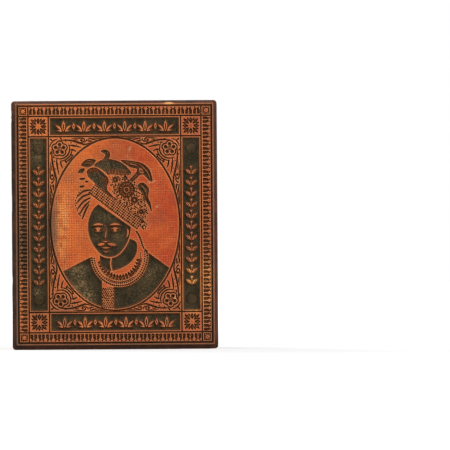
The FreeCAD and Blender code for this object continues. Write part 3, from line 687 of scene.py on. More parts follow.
def make_copper_group():
    """Etched copper under old ink. The face is orange to red; tan at its edges, partly worn and partly a
    painted highlight where edges catch the light; pale gold where freshly rubbed and in painted glints.
    What is etched away has its own dark and light ground, with pale flecks, and pale deposits that on the
    flat sunk face are painted highlights. The other inputs are marks on the mesh."""
    group, given = new_group("etched_copper", copper_marks, ("Ground dark", "Ground light"),
                             ("Roughness", "Metal", "Height"), ("Colour",))
    fine = grained(group, 0.15, 0.15)
    broad = grained(group, 1.5, 1.3)
    redness = math_of(group, "ADD", given["Redness"], spread_of(group, broad, 0.3, 0.7, -0.22, 0.22))
    copper = blend_of(group, redness, bright_orange, deep_red)
    shade = spread_of(group, fine, 0.3, 0.7, 0.66, 1.14)
    shades = node(group, "ShaderNodeCombineColor", {0: shade, 1: shade, 2: shade}).outputs[0]
    copper = blend_of(group, 1.0, copper, shades, "MULTIPLY")
    copper = blend_of(group, math_of(group, "MULTIPLY", given["Edge"], 0.85), copper, tan_of_wear_and_highlight)
    copper = blend_of(group, math_of(group, "MULTIPLY", given["Dull"], 0.8), copper, dull_brown)
    copper = blend_of(group, given["Golden"], copper, rubbed_gold_and_glint)
    patina = blend_of(group, spread_of(group, broad, 0.38, 0.62), given["Ground dark"], given["Ground light"])
    flecks = spread_of(group, fine, 0.56, 0.74)
    patina = blend_of(group, math_of(group, "MULTIPLY", flecks, 0.3), patina, olive_fleck)
    pale = math_of(group, "MULTIPLY", given["Pale"], spread_of(group, fine, 0.42, 0.62))
    patina = blend_of(group, pale, patina, pale_deposit_and_highlight)
    rough = spread_of(group, given["Raised"], 0.0, 1.0, 0.6, 0.42)
    node(group, "NodeGroupOutput", {
        "Colour": blend_of(group, given["Raised"], patina, copper), "Height": fine,
        "Roughness": math_of(group, "SUBTRACT", rough, math_of(group, "MULTIPLY", given["Golden"], 0.12)),
        "Metal": spread_of(group, given["Raised"], 0.0, 1.0, 0.15, 0.75)})
    return group


copper_group = make_copper_group()


def make_copper_material(name, ground_dark, ground_light, bump_strength):
    """Copper as the marks on the mesh say, with a fine bite in its surface."""
    material, tree, shader = new_material(name)
    sockets = {key: mark_of(tree, key.lower()) for key in copper_marks}
    sockets.update({"Ground dark": ground_dark, "Ground light": ground_light})
    finish = node(tree, "ShaderNodeGroup", sockets, node_tree=copper_group).outputs
    bite = {"Strength": bump_strength, "Distance": 0.02 * mm, "Height": finish["Height"]}
    feed(tree, shader, {
        "Base Color": finish["Colour"], "Roughness": finish["Roughness"], "Metallic": finish["Metal"],
        "Specular IOR Level": 0.1, "Normal": node(tree, "ShaderNodeBump", bite).outputs[0]})
    return material


def make_plate_body():
    """The bevelled body as one closed skin, with a flat back and a flat bed a little below the etched
    floor."""
    x, y, z, normal_x, normal_z = plate_body_points()
    x, z = np.vstack([x, x[-1:]]), np.vstack([z, z[-1:]])
    y = np.vstack([y, np.full_like(y[-1:], bed_y)])
    loops = np.arange(x.size).reshape(x.shape)
    points = np.stack([x.ravel(), y.ravel(), z.ravel()], axis=1)
    quads = np.vstack([band_quads(near, far) for near, far in zip(loops, loops[1:])])
    run = np.cumsum(np.linalg.norm([np.diff(part, axis=0) for part in (x, y, z)], axis=0).mean(1))
    out = (run[-1] - np.concatenate([[0], run]))[:, None] * 3
    spread = np.stack([(x + normal_x * out).ravel(), (z + normal_z * out).ravel()], axis=1)
    redness, dull, golden = copper_tones(x, z)
    rule = ease(((floor_y - y) / relief_depth - 0.55) / 0.4)
    rub = 0.5 * cloud(x / 0.8, z / 0.8, 43) + 0.3 * cloud(x / 0.25, z / 0.25, 44)
    # upper and ease(x - 11) below make the top bevel paler and less dull, its lip more tan, and the right
    # bevel a little paler: painted light from above and from the right, on top of the wear
    upper = ease((z - 29.0) / 0.6)
    corner = blot(x, z, (outer_left, wood_height), (1.6, 2.2))
    chip = ease(2 * blot(x, z, (6.6, 29.5), (0.5, 0.14)))
    # 0.06 * upper and 0.06 * ease(x - 11) are painted light on the top and right bevels
    bare = 0.04 + 0.06 * upper + 0.22 * corner + 0.06 * ease(x - 11)
    bare = bare + 0.14 * ease((0.5 - z) / 0.3) + 0.14 * rub
    bare = np.clip(bare, 0.0, 0.45) * (1 - rule)
    marks = {"raised": np.maximum.reduce([rule, bare, chip]), "edge": rule * (0.5 + 0.4 * upper),
             "redness": 0.6 + 0.2 * (1 - rule), "pale": 0.06 * ease(rub),
             "dull": np.where(rule > 0.5, dull, 0.45 - 0.3 * upper) * (1 - chip),
             "golden": np.maximum(golden * rule, 0.8 * chip)}
    material = make_copper_material("bevelled_copper", paint(38, 22, 11), paint(70, 42, 19), 0.4)
    return make_piece("plate_bevel", points, quads, [loops[0][::-1], loops[-1]], spread, marks, material)


plate_body = make_plate_body()
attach(plate_body, "root")
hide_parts("face_plate")

# The printing face: the design stands up where the copper was kept from the acid. It is drawn once, as the
# signed distance in millimetres to the nearest edge of the raised metal, and cut into panels along its own
# frame lines.
drawing_pitch = 0.04
wall_width = 0.075
outer_rule = 0.18
outer_groove = 0.18
frieze_band = 1.09
frieze_rail = 0.16
frieze_head_rail = 0.22
frieze_bar = 0.17
frieze_stem = 0.13
frieze_pitch = 0.93
inner_groove = 0.12
panel_rule = 0.16
panel_ground = 2.0
panel_band = 2 * panel_rule + panel_ground

rule_inner = inset(print_area, outer_rule)
frieze_outer = inset(rule_inner, outer_groove)
frieze_inner = inset(frieze_outer, frieze_band)
panel_outer = inset(frieze_inner, inner_groove)
panel_inner = inset(panel_outer, panel_band)
field = inset(panel_inner, inner_groove)
field_centre = ((field[0] + field[2]) / 2, (field[1] + field[3]) / 2)


def band_middles(outer, inner):
    """The middles of the band between two rectangles: two places across, and two places up."""
    left, bottom, right, top = (np.array(outer) + np.array(inner)) / 2
    return (left, right), (bottom, top)


frieze_middles = band_middles(frieze_outer, frieze_inner)
panel_middles = band_middles(panel_outer, panel_inner)

face_area = inset(print_area, lip)
face_columns = round((face_area[2] - face_area[0]) / drawing_pitch) + 1
face_rows = round((face_area[3] - face_area[1]) / drawing_pitch) + 1
across = np.linspace(face_area[0], face_area[2], face_columns)
up = np.linspace(face_area[1], face_area[3], face_rows)
drawing = np.full((face_columns, face_rows), 2.0)


def window(area):
    """The grid points that an area touches: their slices, and their places across and up."""
    margin = 2 * wall_width
    i = slice(*np.searchsorted(across, (area[0] - margin, area[2] + margin)))
    j = slice(*np.searchsorted(up, (area[1] - margin, area[3] + margin)))
    return (i, j), across[i, None], up[None, j]


def etch(shape):
    """Bites a shape, given as its area and its signed distance, out of the raised metal."""
    cells, x, z = window(shape[0])
    drawing[cells] = np.minimum(drawing[cells], shape[1](x, z))


def keep(shape):
    """Leaves a shape standing in what has been etched."""
    cells, x, z = window(shape[0])
    drawing[cells] = np.maximum(drawing[cells], -shape[1](x, z))


def around(centre, reach):
    """The square (left, bottom, right, top) at one reach from a centre."""
    return centre[0] - reach, centre[1] - reach, centre[0] + reach, centre[1] + reach


def swung(centre, reach, turn):
    """The place at a reach from a centre, by the cosine and sine of a turn in degrees; an oval has two
    reaches."""
    reach_x, reach_z = np.broadcast_to(reach, 2)
    angle = math.radians(turn)
    return centre[0] + reach_x * math.cos(angle), centre[1] + reach_z * math.sin(angle)


def box(area):
    """A rectangle, and its signed distance."""
    def gap(x, z):
        """The larger of the two overhangs inside the rectangle, and their diagonal outside it."""
        over_x = np.maximum(area[0] - x, x - area[2])
        over_z = np.maximum(area[1] - z, z - area[3])
        outside = np.hypot(np.maximum(over_x, 0), np.maximum(over_z, 0))
        return outside + np.minimum(np.maximum(over_x, over_z), 0)
    return area, gap


def disc(centre, radius):
    """A round: the distance to its centre less its radius."""
    return around(centre, radius), lambda x, z: np.hypot(x - centre[0], z - centre[1]) - radius


def ring(centre, radius, width):
    """A round line: how far the distance to its centre is from its radius, less half its width."""
    outline = disc(centre, radius)[1]
    return around(centre, radius + width), lambda x, z: np.abs(outline(x, z)) - width / 2


def oval(centre, half_width, half_height):
    """An ellipse, and about its signed distance."""
    def gap(x, z):
        """The ellipse's level function less one, over the length of that function's slope."""
        u, v = x - centre[0], z - centre[1]
        level = np.hypot(u / half_width, v / half_height)
        slope = np.hypot(u / half_width ** 2, v / half_height ** 2)
        return (level - 1) * level / np.maximum(slope, 1e-6)
    return (centre[0] - half_width, centre[1] - half_height,
            centre[0] + half_width, centre[1] + half_height), gap


def leaf(foot, angle, length, width, bow=0):
    """A pointed leaf from its foot, at an angle in degrees."""
    turn = math.radians(angle)

    def gap(x, z):
        """The way aside from the leaf's middle line less its half width, both of which follow 4 t (1 - t)
        along it."""
        along = (x - foot[0]) * math.cos(turn) + (z - foot[1]) * math.sin(turn)
        aside = (z - foot[1]) * math.cos(turn) - (x - foot[0]) * math.sin(turn)
        crown = 4 * along / length * (1 - along / length)
        return np.abs(aside - bow * crown) - width / 2 * crown
    return around(swung(foot, length / 2, angle), length / 2 + abs(bow)), gap


def smooth_line(points, closed=False, steps=8):
    """A smooth line through points: between two of them, the cubic whose slopes at its ends are half the
    chord from the point before to the point after."""
    knots = np.array(points, float)
    before, after = np.roll(knots, 1, axis=0), np.roll(knots, -1, axis=0)
    if not closed:
        before[0], after[-1] = knots[0], knots[-1]
    slope = (after - before) / 2
    count = len(knots) if closed else len(knots) - 1
    t = np.linspace(0, 1, steps, endpoint=False)[None, :, None]
    a, b, u, v = (part[:count, None] for part in (knots, after, slope, np.roll(slope, -1, axis=0)))
    line = a * (1 + 2 * t) * (1 - t) ** 2 + u * t * (1 - t) ** 2
    line = line + b * t * t * (3 - 2 * t) + v * t * t * (t - 1)
    line = line.reshape(-1, 2)
    return line if closed else np.vstack([line, knots[-1:]])


def polygon(points):
    """A closed outline of straight sides, and its signed distance."""
    knots = np.array(points, float)

    def gap(x, z):
        """The least distance to a side, below zero where a ray to the right meets an odd number of
        sides."""
        best = np.full(np.broadcast(x, z).shape, 1e3)
        inside = np.zeros(best.shape, bool)
        for (ax, az), (bx, bz) in zip(knots, np.roll(knots, -1, axis=0)):
            dx, dz = bx - ax, bz - az
            reach = np.clip(((x - ax) * dx + (z - az) * dz) / max(dx * dx + dz * dz, 1e-12), 0, 1)
            best = np.minimum(best, np.hypot(x - ax - reach * dx, z - az - reach * dz))
            if az != bz:
                inside ^= ((az > z) != (bz > z)) & (x < ax + (z - az) * dx / dz)
        return np.where(inside, -best, best)
    return (*knots.min(0), *knots.max(0)), gap


def lozenge(centre, half_width, half_height):
    """A square on its corner, drawn out to a half width and a half height."""
    x, z = centre
    return polygon([(x - half_width, z), (x, z - half_height), (x + half_width, z), (x, z + half_height)])


def stroke(points, width, taper=1.0):
    """A drawn line through points, thinning towards both ends by the taper."""
    line = smooth_line(points, steps=5)

    def gap(x, z):
        """The distance to the line less half its width, which follows half a sine wave along it."""
        best, share = line_distance(x, z, line)
        return best - width / 2 * (1 - taper + taper * np.sin(np.pi * (0.06 + 0.88 * share)))
    return (*(line.min(0) - width), *(line.max(0) + width)), gap


def common(first, second):
    """What two shapes share: the larger of their distances."""
    return first[0], lambda x, z: np.maximum(first[1](x, z), second[1](x, z))


def cut(first, *others):
    """A shape without the others: the largest of its distance and theirs, with their signs turned."""
    return first[0], lambda x, z: np.maximum.reduce([first[1](x, z)] + [-other[1](x, z) for other in others])


def draw_frame():
    """The net of straight grooves, with bands, squares, tablets and field left standing in it."""
    etch(box(rule_inner))
    for outer, inner, core in ((frieze_outer, frieze_inner, panel_outer), (panel_outer, panel_inner, field)):
        columns = ((outer[0], inner[0]), (core[0], core[2]), (inner[2], outer[2]))
        rows = ((outer[1], inner[1]), (core[1], core[3]), (inner[3], outer[3]))
        for column in columns:
            for row in rows:
                if core is field or column != columns[1] or row != rows[1]:
                    keep(box((column[0], row[0], column[1], row[1])))


def turned(point, origin, quarter_turns):
    """A point of a band's own drawing, turned by quarter turns and set on the band's origin."""
    x, z = point
    for _ in range(quarter_turns):
        x, z = -z, x
    return origin[0] + x, origin[1] + z


def arch(origin, turns, middle, half, sill, height):
    """A round-headed window in a band's own drawing, turned by quarter turns and set on the band's
    origin."""
    corners = [turned(p, origin, turns) for p in ((middle - half, sill), (middle + half, sill + height))]

    def gap(x, z):
        """How far a place lies below the sill, or beyond the jambs, or above them beyond the round head."""
        u, v = x - origin[0], z - origin[1]
        for _ in range(turns):
            u, v = v, -u
        u, v = u - middle, v - sill
        spring = height - half
        return np.maximum(-v, np.where(v > spring, np.hypot(u, v - spring), np.abs(u)) - half)
    return (*np.min(corners, axis=0), *np.max(corners, axis=0)), gap


frieze_seed = 0.1
frieze_eye = 0.07
corner_lozenge = 0.33


def draw_frieze():
    """Arched windows between bars along the four bands. A stem with a seed splits each window in two, and
    two thin leaves spring from its foot. A lozenge between four berries stands in each corner."""
    left, bottom, right, top = panel_outer
    bands = [((left, frieze_inner[3]), right - left, 0), ((frieze_inner[0], bottom), top - bottom, 1),
             ((right, frieze_inner[1]), right - left, 2), ((frieze_inner[2], top), top - bottom, 3)]
    height = frieze_band - frieze_rail - frieze_head_rail
    for origin, length, turns in bands:
        count = round(length / frieze_pitch)
        pitch = length / count
        half = (pitch - frieze_bar) / 2
        for index in range(count):
            middle = pitch * (index + 0.5)
            etch(arch(origin, turns, middle, half, frieze_rail, height))
            ends = [turned((middle, frieze_rail + height * share), origin, turns) for share in (-0.05, 1.05)]
            keep(stroke(ends, frieze_stem, 0.3))
            keep(disc(turned((middle, frieze_rail + height * 0.52), origin, turns), frieze_seed))
            for side in (-1, 1):
                foot = turned((middle + side * half * 0.06, frieze_rail), origin, turns)
                keep(leaf(foot, 90 * (turns + 1) - side * 46, height * 0.56, half * 0.12, side * half * 0.12))
                eye = (middle + side * pitch / 4, frieze_band - frieze_head_rail * 0.75)
                etch(disc(turned(eye, origin, turns), frieze_eye))
    for x in frieze_middles[0]:
        for z in frieze_middles[1]:
            etch(box(around((x, z), frieze_band / 2 - frieze_rail)))
            keep(lozenge((x, z), corner_lozenge, corner_lozenge))
            for angle in range(45, 360, 90):
                keep(disc(swung((x, z), 0.34, angle), 0.09))


corner_star = 0.27
corner_leaf_lengths = (0.74, 0.92)          # straight and slanting
corner_leaf_width = 0.34


def draw_corner_squares():
    """A plain star with eight leaf-shaped cuts round it, each with a vein, and small cuts between them."""
    for x in panel_middles[0]:
        for z in panel_middles[1]:
            for index in range(8):
                angle = 45 * index
                reach = corner_star * (1, 1.15)[index % 2]
                length = corner_leaf_lengths[index % 2]
                etch(leaf(swung((x, z), reach, angle), angle, length, corner_leaf_width))
                keep(leaf(swung((x, z), reach + 0.2, angle), angle, length * 0.6, 0.06))
                etch(leaf(swung((x, z), 0.62, angle + 22.5), angle + 22.5, 0.46, 0.16))


bud_height = 1.34
bud_pitch = 2.45
lozenge_half = (0.22, 0.44)


def draw_end_tablets():
    """The upper and lower tablets: a sunk ground with a row of buds between side leaves, and lozenges."""
    for z in panel_middles[1]:
        ground = inset((field[0], z - panel_band / 2, field[2], z + panel_band / 2), panel_rule)
        etch(box(ground))
        count = int((ground[2] - ground[0]) / bud_pitch)
        foot = z - bud_height / 2
        for index in range(count):
            x = field_centre[0] + (index - (count - 1) / 2) * bud_pitch
            keep(leaf((x, foot), 90, bud_height, bud_height * 0.34))
            etch(leaf((x, foot + 0.2), 90, bud_height * 0.62, 0.1))
            for side in (-1, 1):
                start = (x + side * bud_height * 0.13, foot)
                for lean, length, width, bow in ((44, 0.88, 0.2, 0.08), (76, 0.5, 0.13, 0.05)):
                    keep(leaf(start, 90 - side * lean, bud_height * length, bud_height * width,
                              side * bud_height * bow))
            if index < count - 1:
                keep(lozenge((x + bud_pitch / 2, z), *lozenge_half))
                etch(disc((x + bud_pitch / 2, z), 0.07))


spray_pitch = 1.32
spray_blank = 2.7


def draw_side_tablets():
    """The left and right tablets: a sunk ground with a spray of leaf pairs and berries, bare at both
    ends."""
    for x in panel_middles[0]:
        ground = inset((x - panel_band / 2, field[1], x + panel_band / 2, field[3]), panel_rule)
        etch(box(ground))
        count = int((ground[3] - ground[1] - 2 * spray_blank) / spray_pitch)
        for index in range(count):
            z = field_centre[1] + (index - count / 2) * spray_pitch
            for side in (-1, 1):
                keep(leaf((x + side * 0.07, z), 90 - side * 48, 0.84, 0.34, side * 0.07))
                etch(leaf((x + side * 0.22, z + 0.13), 90 - side * 46, 0.46, 0.06, side * 0.03))
            keep(disc((x, z + spray_pitch * 0.66), 0.14))
            keep(stroke([(x, z - 0.05), (x, z + 0.72)], 0.07, 0.3))


half_field = ((field[2] - field[0]) / 2, (field[3] - field[1]) / 2)
oval_margin = 0.02
oval_ring = 0.18
oval_rim = 0.14
oval_half = (half_field[0] - oval_margin - oval_ring, half_field[1] - oval_margin - oval_ring)
flower_inset = (1.28, 1.4)
flower_radius = 1.1
# Each crescent's radius, half turn, width, and turn from the way to the oval's middle
flower_crescents = ((1.22, 74, 0.14, 0), (1.5, 46, 0.13, 0), (1.75, 24, 0.12, 0), (1.2, 34, 0.13, 180))

# Strokes of the scrolls beside each flower: places are shares of the way to the arm's tip and across it,
# from the field's straight edge to the oval; the last number is the stroke's width in millimetres
scroll_strokes = [
    ([(-0.24, 0.07), (0.0, 0.10), (0.18, 0.20), (0.36, 0.47), (0.50, 0.78), (0.66, 0.93)], 0.19),
    ([(0.03, 0.33), (0.12, 0.38), (0.24, 0.54), (0.38, 0.84)], 0.15),
    ([(0.07, 0.55), (0.15, 0.64), (0.24, 0.88)], 0.15),
    ([(0.05, 0.75), (0.10, 0.82), (0.13, 0.94)], 0.12),
    ([(0.10, 0.06), (0.24, 0.04), (0.40, 0.06), (0.47, 0.18), (0.45, 0.38), (0.37, 0.42), (0.31, 0.30)], 0.12),
    ([(0.16, 0.15), (0.22, 0.13), (0.29, 0.15)], 0.08),
    ([(0.46, 0.52), (0.50, 0.46), (0.55, 0.30), (0.53, 0.16)], 0.11),
    ([(0.58, 0.10), (0.66, 0.20), (0.74, 0.46), (0.82, 0.80)], 0.14),
    ([(0.57, 0.52), (0.63, 0.60), (0.71, 0.82)], 0.13),
    ([(0.72, 0.12), (0.81, 0.22), (0.88, 0.50), (0.95, 0.85)], 0.11),
    ([(0.86, 0.16), (0.95, 0.36), (1.03, 0.70)], 0.09)]
scroll_dots = [(0.385, 0.24, 0.13), (0.09, 0.24, 0.07), (0.28, 0.27, 0.06), (0.60, 0.34, 0.06),
               (0.15, 0.47, 0.05), (0.25, 0.42, 0.05), (0.44, 0.72, 0.05)]
# Raised metal left between the scrolls and the field's straight edge
scroll_edge = 0.07


def draw_flower(centre, side, end):
    """A flower of five sunk round petals in a frilled ring, with sunk crescents and leaves round it."""
    petals = [swung(centre, 0.5, 90 * end + 72 * index) for index in range(5)]
    for petal in petals:
        etch(disc(petal, 0.205))
    etch(ring(centre, 0.2, 0.06))
    etch(disc(centre, 0.06))

    def frill(x, z):
        """How far a place is from the edge of the lobes round the petals and the middle, less half a line's
        width."""
        lobes = np.minimum.reduce([np.hypot(x - petal_x, z - petal_z) for petal_x, petal_z in petals])
        return np.abs(np.minimum(lobes - 0.43, np.hypot(x - centre[0], z - centre[1]) - 0.62)) - 0.055
    etch((around(centre, flower_radius), frill))
    oval_way = math.degrees(math.atan2(-end, -side))
    for radius, half_turn, width, middle in flower_crescents:
        turns = oval_way + middle + np.linspace(-half_turn, half_turn, 5)
        etch(stroke([swung(centre, radius, turn) for turn in turns], width))
    for offset in (-118, -90, 90, 118):
        etch(leaf(swung(centre, flower_radius, oval_way + offset), oval_way + offset + 55, 0.42, 0.13, 0.04))


def arm_place(side, end, upright, along, over):
    """A place in one arm of a spandrel: along runs from beside the flower to the tip, and over from the
    straight edge to the oval, whose distance from the middle is its half size times the root of 1 less the
    share squared."""
    half_over, half_along = half_field if upright else half_field[::-1]
    start = half_along - flower_inset[1 if upright else 0] - 1.0
    reach = start + ((2.4 if upright else 1.4) - start) * along
    edge = (half_over - oval_margin) * math.sqrt(1 - (reach / (half_along - oval_margin)) ** 2)
    place = half_over - scroll_edge - (half_over - scroll_edge - edge) * over
    u, v = (place, reach) if upright else (reach, place)
    return field_centre[0] + side * u, field_centre[1] + end * v


def draw_spandrels():
    """In each corner of the field: a flower, and an arm of scrolls along either side as far as the oval
    leaves room."""
    for side in (-1, 1):
        for end in (-1, 1):
            x = field_centre[0] + side * (half_field[0] - flower_inset[0])
            z = field_centre[1] + end * (half_field[1] - flower_inset[1])
            draw_flower((x, z), side, end)
            for upright in (True, False):
                for places, width in scroll_strokes:
                    etch(stroke([arm_place(side, end, upright, *place) for place in places], width))
                for along, over, radius in scroll_dots:
                    etch(disc(arm_place(side, end, upright, along, over), radius))
            etch(leaf((x + side * 0.86, z + end * 0.92), math.degrees(math.atan2(end, side)), 0.42, 0.16))


def spot(shares):
    """A place in the oval, as shares of its half width and half height from its centre."""
    return field_centre[0] + shares[0] * oval_half[0], field_centre[1] + shares[1] * oval_half[1]


def spots(outline_shares):
    """Places in the oval, each given by such shares."""
    return [spot(shares) for shares in outline_shares]


# Sunk outlines of the turban, as shares of the oval: its crown, its left fold, the two plumes on the right
# and the crest; then loose leaves, each with its foot, angle, length and width
turban_outline_shares = [
    [(-0.32, 0.685), (-0.25, 0.73), (-0.175, 0.752), (-0.09, 0.758), (0.015, 0.742), (0.09, 0.72),
     (0.16, 0.685), (0.21, 0.645), (0.248, 0.61), (0.25, 0.58), (0.19, 0.565), (0.09, 0.568),
     (-0.04, 0.58), (-0.105, 0.58), (-0.175, 0.623), (-0.25, 0.66)],
    [(-0.435, 0.607), (-0.41, 0.64), (-0.357, 0.658), (-0.288, 0.655), (-0.22, 0.623), (-0.15, 0.575),
     (-0.107, 0.536), (-0.10, 0.49), (-0.124, 0.446), (-0.115, 0.394), (-0.07, 0.355), (-0.02, 0.31),
     (-0.09, 0.336), (-0.167, 0.381), (-0.236, 0.42), (-0.297, 0.465), (-0.357, 0.51), (-0.41, 0.55)],
    [(0.10, 0.742), (0.18, 0.741), (0.29, 0.731), (0.395, 0.715), (0.48, 0.681), (0.54, 0.633),
     (0.572, 0.568), (0.585, 0.50), (0.54, 0.504), (0.49, 0.543), (0.438, 0.578), (0.386, 0.568),
     (0.326, 0.523), (0.274, 0.494), (0.231, 0.51), (0.274, 0.549), (0.326, 0.594), (0.352, 0.626),
     (0.317, 0.652), (0.239, 0.665), (0.161, 0.704)],
    [(0.356, 0.439), (0.386, 0.472), (0.447, 0.478), (0.507, 0.439), (0.533, 0.394), (0.516, 0.336),
     (0.525, 0.291), (0.555, 0.24), (0.572, 0.143), (0.542, 0.194), (0.499, 0.246), (0.464, 0.304),
     (0.429, 0.355), (0.378, 0.394)],
    [(-0.215, 0.85), (-0.15, 0.868), (-0.09, 0.845), (-0.075, 0.80), (-0.11, 0.757), (-0.18, 0.748),
     (-0.145, 0.81)]]
turban_leaf_shares = [
    ((-0.53, 0.69), 18, 0.25, 0.12), ((-0.575, 0.605), 30, 0.12, 0.065), ((-0.56, 0.53), 6, 0.1, 0.03),
    ((-0.56, 0.44), 8, 0.09, 0.03), ((-0.47, 0.50), 4, 0.06, 0.025)]
tassel_strand_shares = [
    [(-0.37, 0.40), (-0.49, 0.385), (-0.585, 0.325)], [(-0.375, 0.355), (-0.50, 0.325), (-0.60, 0.245)],
    [(-0.38, 0.31), (-0.49, 0.265), (-0.59, 0.175)], [(-0.39, 0.27), (-0.475, 0.21), (-0.56, 0.11)],
    [(-0.405, 0.23), (-0.455, 0.17), (-0.515, 0.06)]]
turban_vein_shares = [
    [(0.12, 0.733), (0.28, 0.718), (0.40, 0.69), (0.50, 0.62)], [(0.17, 0.718), (0.28, 0.702), (0.37, 0.675)],
    [(0.22, 0.70), (0.30, 0.69), (0.35, 0.672)], [(0.44, 0.66), (0.51, 0.60), (0.55, 0.53)],
    [(0.40, 0.60), (0.33, 0.555), (0.27, 0.515)], [(0.40, 0.455), (0.47, 0.40), (0.51, 0.30)],
    [(-0.47, 0.725), (-0.41, 0.745), (-0.34, 0.735)], [(-0.49, 0.70), (-0.43, 0.715), (-0.36, 0.708)],
    [(-0.12, 0.85), (-0.10, 0.82), (-0.12, 0.79)]]
cloth_outline_shares = [
    (-0.09, 0.56), (0.02, 0.565), (0.20, 0.555), (0.24, 0.50), (0.33, 0.50), (0.36, 0.38), (0.45, 0.33),
    (0.49, 0.24), (0.52, 0.10), (0.50, -0.03), (0.45, -0.13), (0.38, -0.12), (0.34, 0.02), (0.22, 0.09),
    (0.05, 0.19), (-0.07, 0.27), (0.0, 0.32), (-0.06, 0.37), (-0.09, 0.44), (-0.07, 0.50)]
plume_knot_shares = [(0.375, 0.655), (0.43, 0.645), (0.465, 0.605), (0.435, 0.585), (0.38, 0.60)]
brooch_place_share = (0.183, 0.40)
drop_shares = [((0.304, 0.278), 0.42), ((0.006, 0.517), 0.34), ((0.408, 0.143), 0.3), ((0.165, 0.538), 0.24),
               ((0.43, 0.03), 0.18)]
brooch_radius = 1.0


def draw_turban():
    """Sunk folds with raised veins, a tassel's strands, the crown's fringe of rays, a rayed brooch with
    drops round it, and loose leaves."""
    for outline in turban_outline_shares:
        etch(polygon(smooth_line(spots(outline), closed=True, steps=5)))
    for place, angle, length, width in turban_leaf_shares:
        etch(leaf(spot(place), angle, length * oval_half[0], width * oval_half[0], -0.05))
    for strand in tassel_strand_shares:
        etch(stroke(spots(strand), 0.2, 0.8))
    for index, share in enumerate(np.linspace(0, 1, 17)):
        foot = spot((-0.075 + 0.30 * share, 0.571 - 0.022 * share))
        keep(leaf((foot[0], foot[1] - 0.16), 106 - 38 * share, 0.72 + 0.16 * (index % 2), 0.085))
    for share in np.linspace(0, 1, 7):
        foot = spot((-0.40 + 0.13 * share, 0.640 + 0.02 * math.sin(3 * share)))
        keep(leaf(foot, 24 * share - 110, 0.42, 0.05))
        keep(leaf(spot((-0.13 + 0.03 * share, 0.54 - 0.13 * share)), 196 + 16 * share, 0.4, 0.05))
    for line in turban_vein_shares:
        keep(stroke(spots(line), 0.075, 0.8))
    keep(polygon(spots(plume_knot_shares)))
    for index in range(5):
        etch(leaf(spot((0.385 + 0.016 * index, 0.602 - 0.002 * index)), 72, 0.4, 0.055))
    centre = spot(brooch_place_share)
    etch(disc(centre, brooch_radius))
    for index in range(16):
        keep(leaf(swung(centre, 0.5, 22.5 * index), 22.5 * index, 0.32 + 0.1 * (index % 2), 0.11))
        etch(disc(swung(centre, 1.13, 22.5 * index + 11), 0.075))
    keep(ring(centre, 0.3, 0.12))
    keep(disc((centre[0] + 0.03, centre[1] - 0.03), 0.07))
    for place, size in drop_shares:
        etch(disc(spot(place), size))
        keep(disc(spot(place), size * 0.3))
        for turn in range(0, 360, 45) if size > 0.25 else ():
            etch(disc(swung(spot(place), size + 0.13, turn), 0.05))


band_holes = 28


def draw_turban_cloth():
    """The band's net of small holes in five rows between a long and a short fine line, the dotted cloth
    beside it, and a bent row of dots over the tassel."""
    start, end = np.array(spot((-0.40, 0.385))), np.array(spot((0.36, -0.05)))
    length = np.hypot(*(end - start))
    along = (end - start) / length
    above = np.array([-along[1], along[0]])
    for row in range(5):
        for index in range(band_holes):
            centre = start + along * length * (index + 0.5) / band_holes + above * (row * 0.262 - 0.06)
            etch(disc(centre, 0.082 + 0.012 * math.sin(2.1 * index + row)))
    etch(stroke([start - above * 0.2, end - above * 0.2], 0.05, 0.2))
    etch(stroke([start + above * 1.17, start + along * 3 + above * 1.17], 0.05, 0.4))
    chance = np.random.default_rng(7)
    cloth = polygon(spots(cloth_outline_shares))[1]
    rounds = [(brooch_place_share, brooch_radius + 0.1)] + [(place, size + 0.1) for place, size in drop_shares]
    for row in range(34):
        for index in range(34):
            centre = start + along * (1.6 + 0.245 * index + 0.12 * (row % 2))
            centre = centre + above * (1.2 + 0.225 * (row - 4))
            centre = centre + chance.uniform(-0.05, 0.05, 2)
            size = 0.05 + 0.045 * chance.random()
            on_band = above @ (centre - start) < 1.1 and along @ (centre - start) < length - 0.1
            clear = all(math.hypot(*(centre - spot(place))) > reach for place, reach in rounds)
            if clear and not on_band and cloth(*centre) < -0.03 and chance.random() > 0.12:
                etch(disc(centre, size))
    for share in np.linspace(0, 1, 12):
        across_share = -0.46 - 0.16 * math.sin(math.pi * (0.15 + 0.75 * share))
        etch(disc(spot((across_share, 0.40 - 0.33 * share)), 0.06))


# The head's place and rough size, and a plain face of ruled proportions in it, as shares of its half sizes
head_half = (2.6, 3.3)
head_place_share = (-0.09, -0.06)
egg_outline_shares = [(0.0, 1.0), (0.66, 0.80), (0.97, 0.22), (0.86, -0.38), (0.46, -0.86), (0.0, -1.0),
                      (-0.46, -0.86), (-0.86, -0.38), (-0.97, 0.22), (-0.66, 0.80)]
midline_share = -0.16
brow_level_share = 0.14
nose_level_share = -0.42
moustache_level_share = -0.52
mouth_level_share = -0.66
chin_level_share = -0.80
eye_place_shares = (midline_share - 0.36, midline_share + 0.42)
eye_stroke_shares = [((-0.27, brow_level_share), 0, 0.54, 0.11, 0.06), ((-0.20, 0.0), 0, 0.4, 0.07, 0.06),
                     ((-0.15, -0.05), 0, 0.30, 0.04, -0.03)]
face_stroke_shares = [
    ((midline_share + 0.03, 0.02), -99, 0.50, 0.06, 0),
    ((midline_share - 0.17, nose_level_share), 0, 0.3, 0.07, -0.04),
    ((midline_share - 0.04, moustache_level_share), 190, 0.36, 0.14, 0),
    ((midline_share + 0.04, moustache_level_share), -10, 0.46, 0.14, 0),
    ((midline_share - 0.22, mouth_level_share), 0, 0.42, 0.08, -0.02),
    ((midline_share - 0.12, chin_level_share), 0, 0.24, 0.05, -0.03), ((0.80, 0.06), -95, 0.5, 0.1, 0.08)]


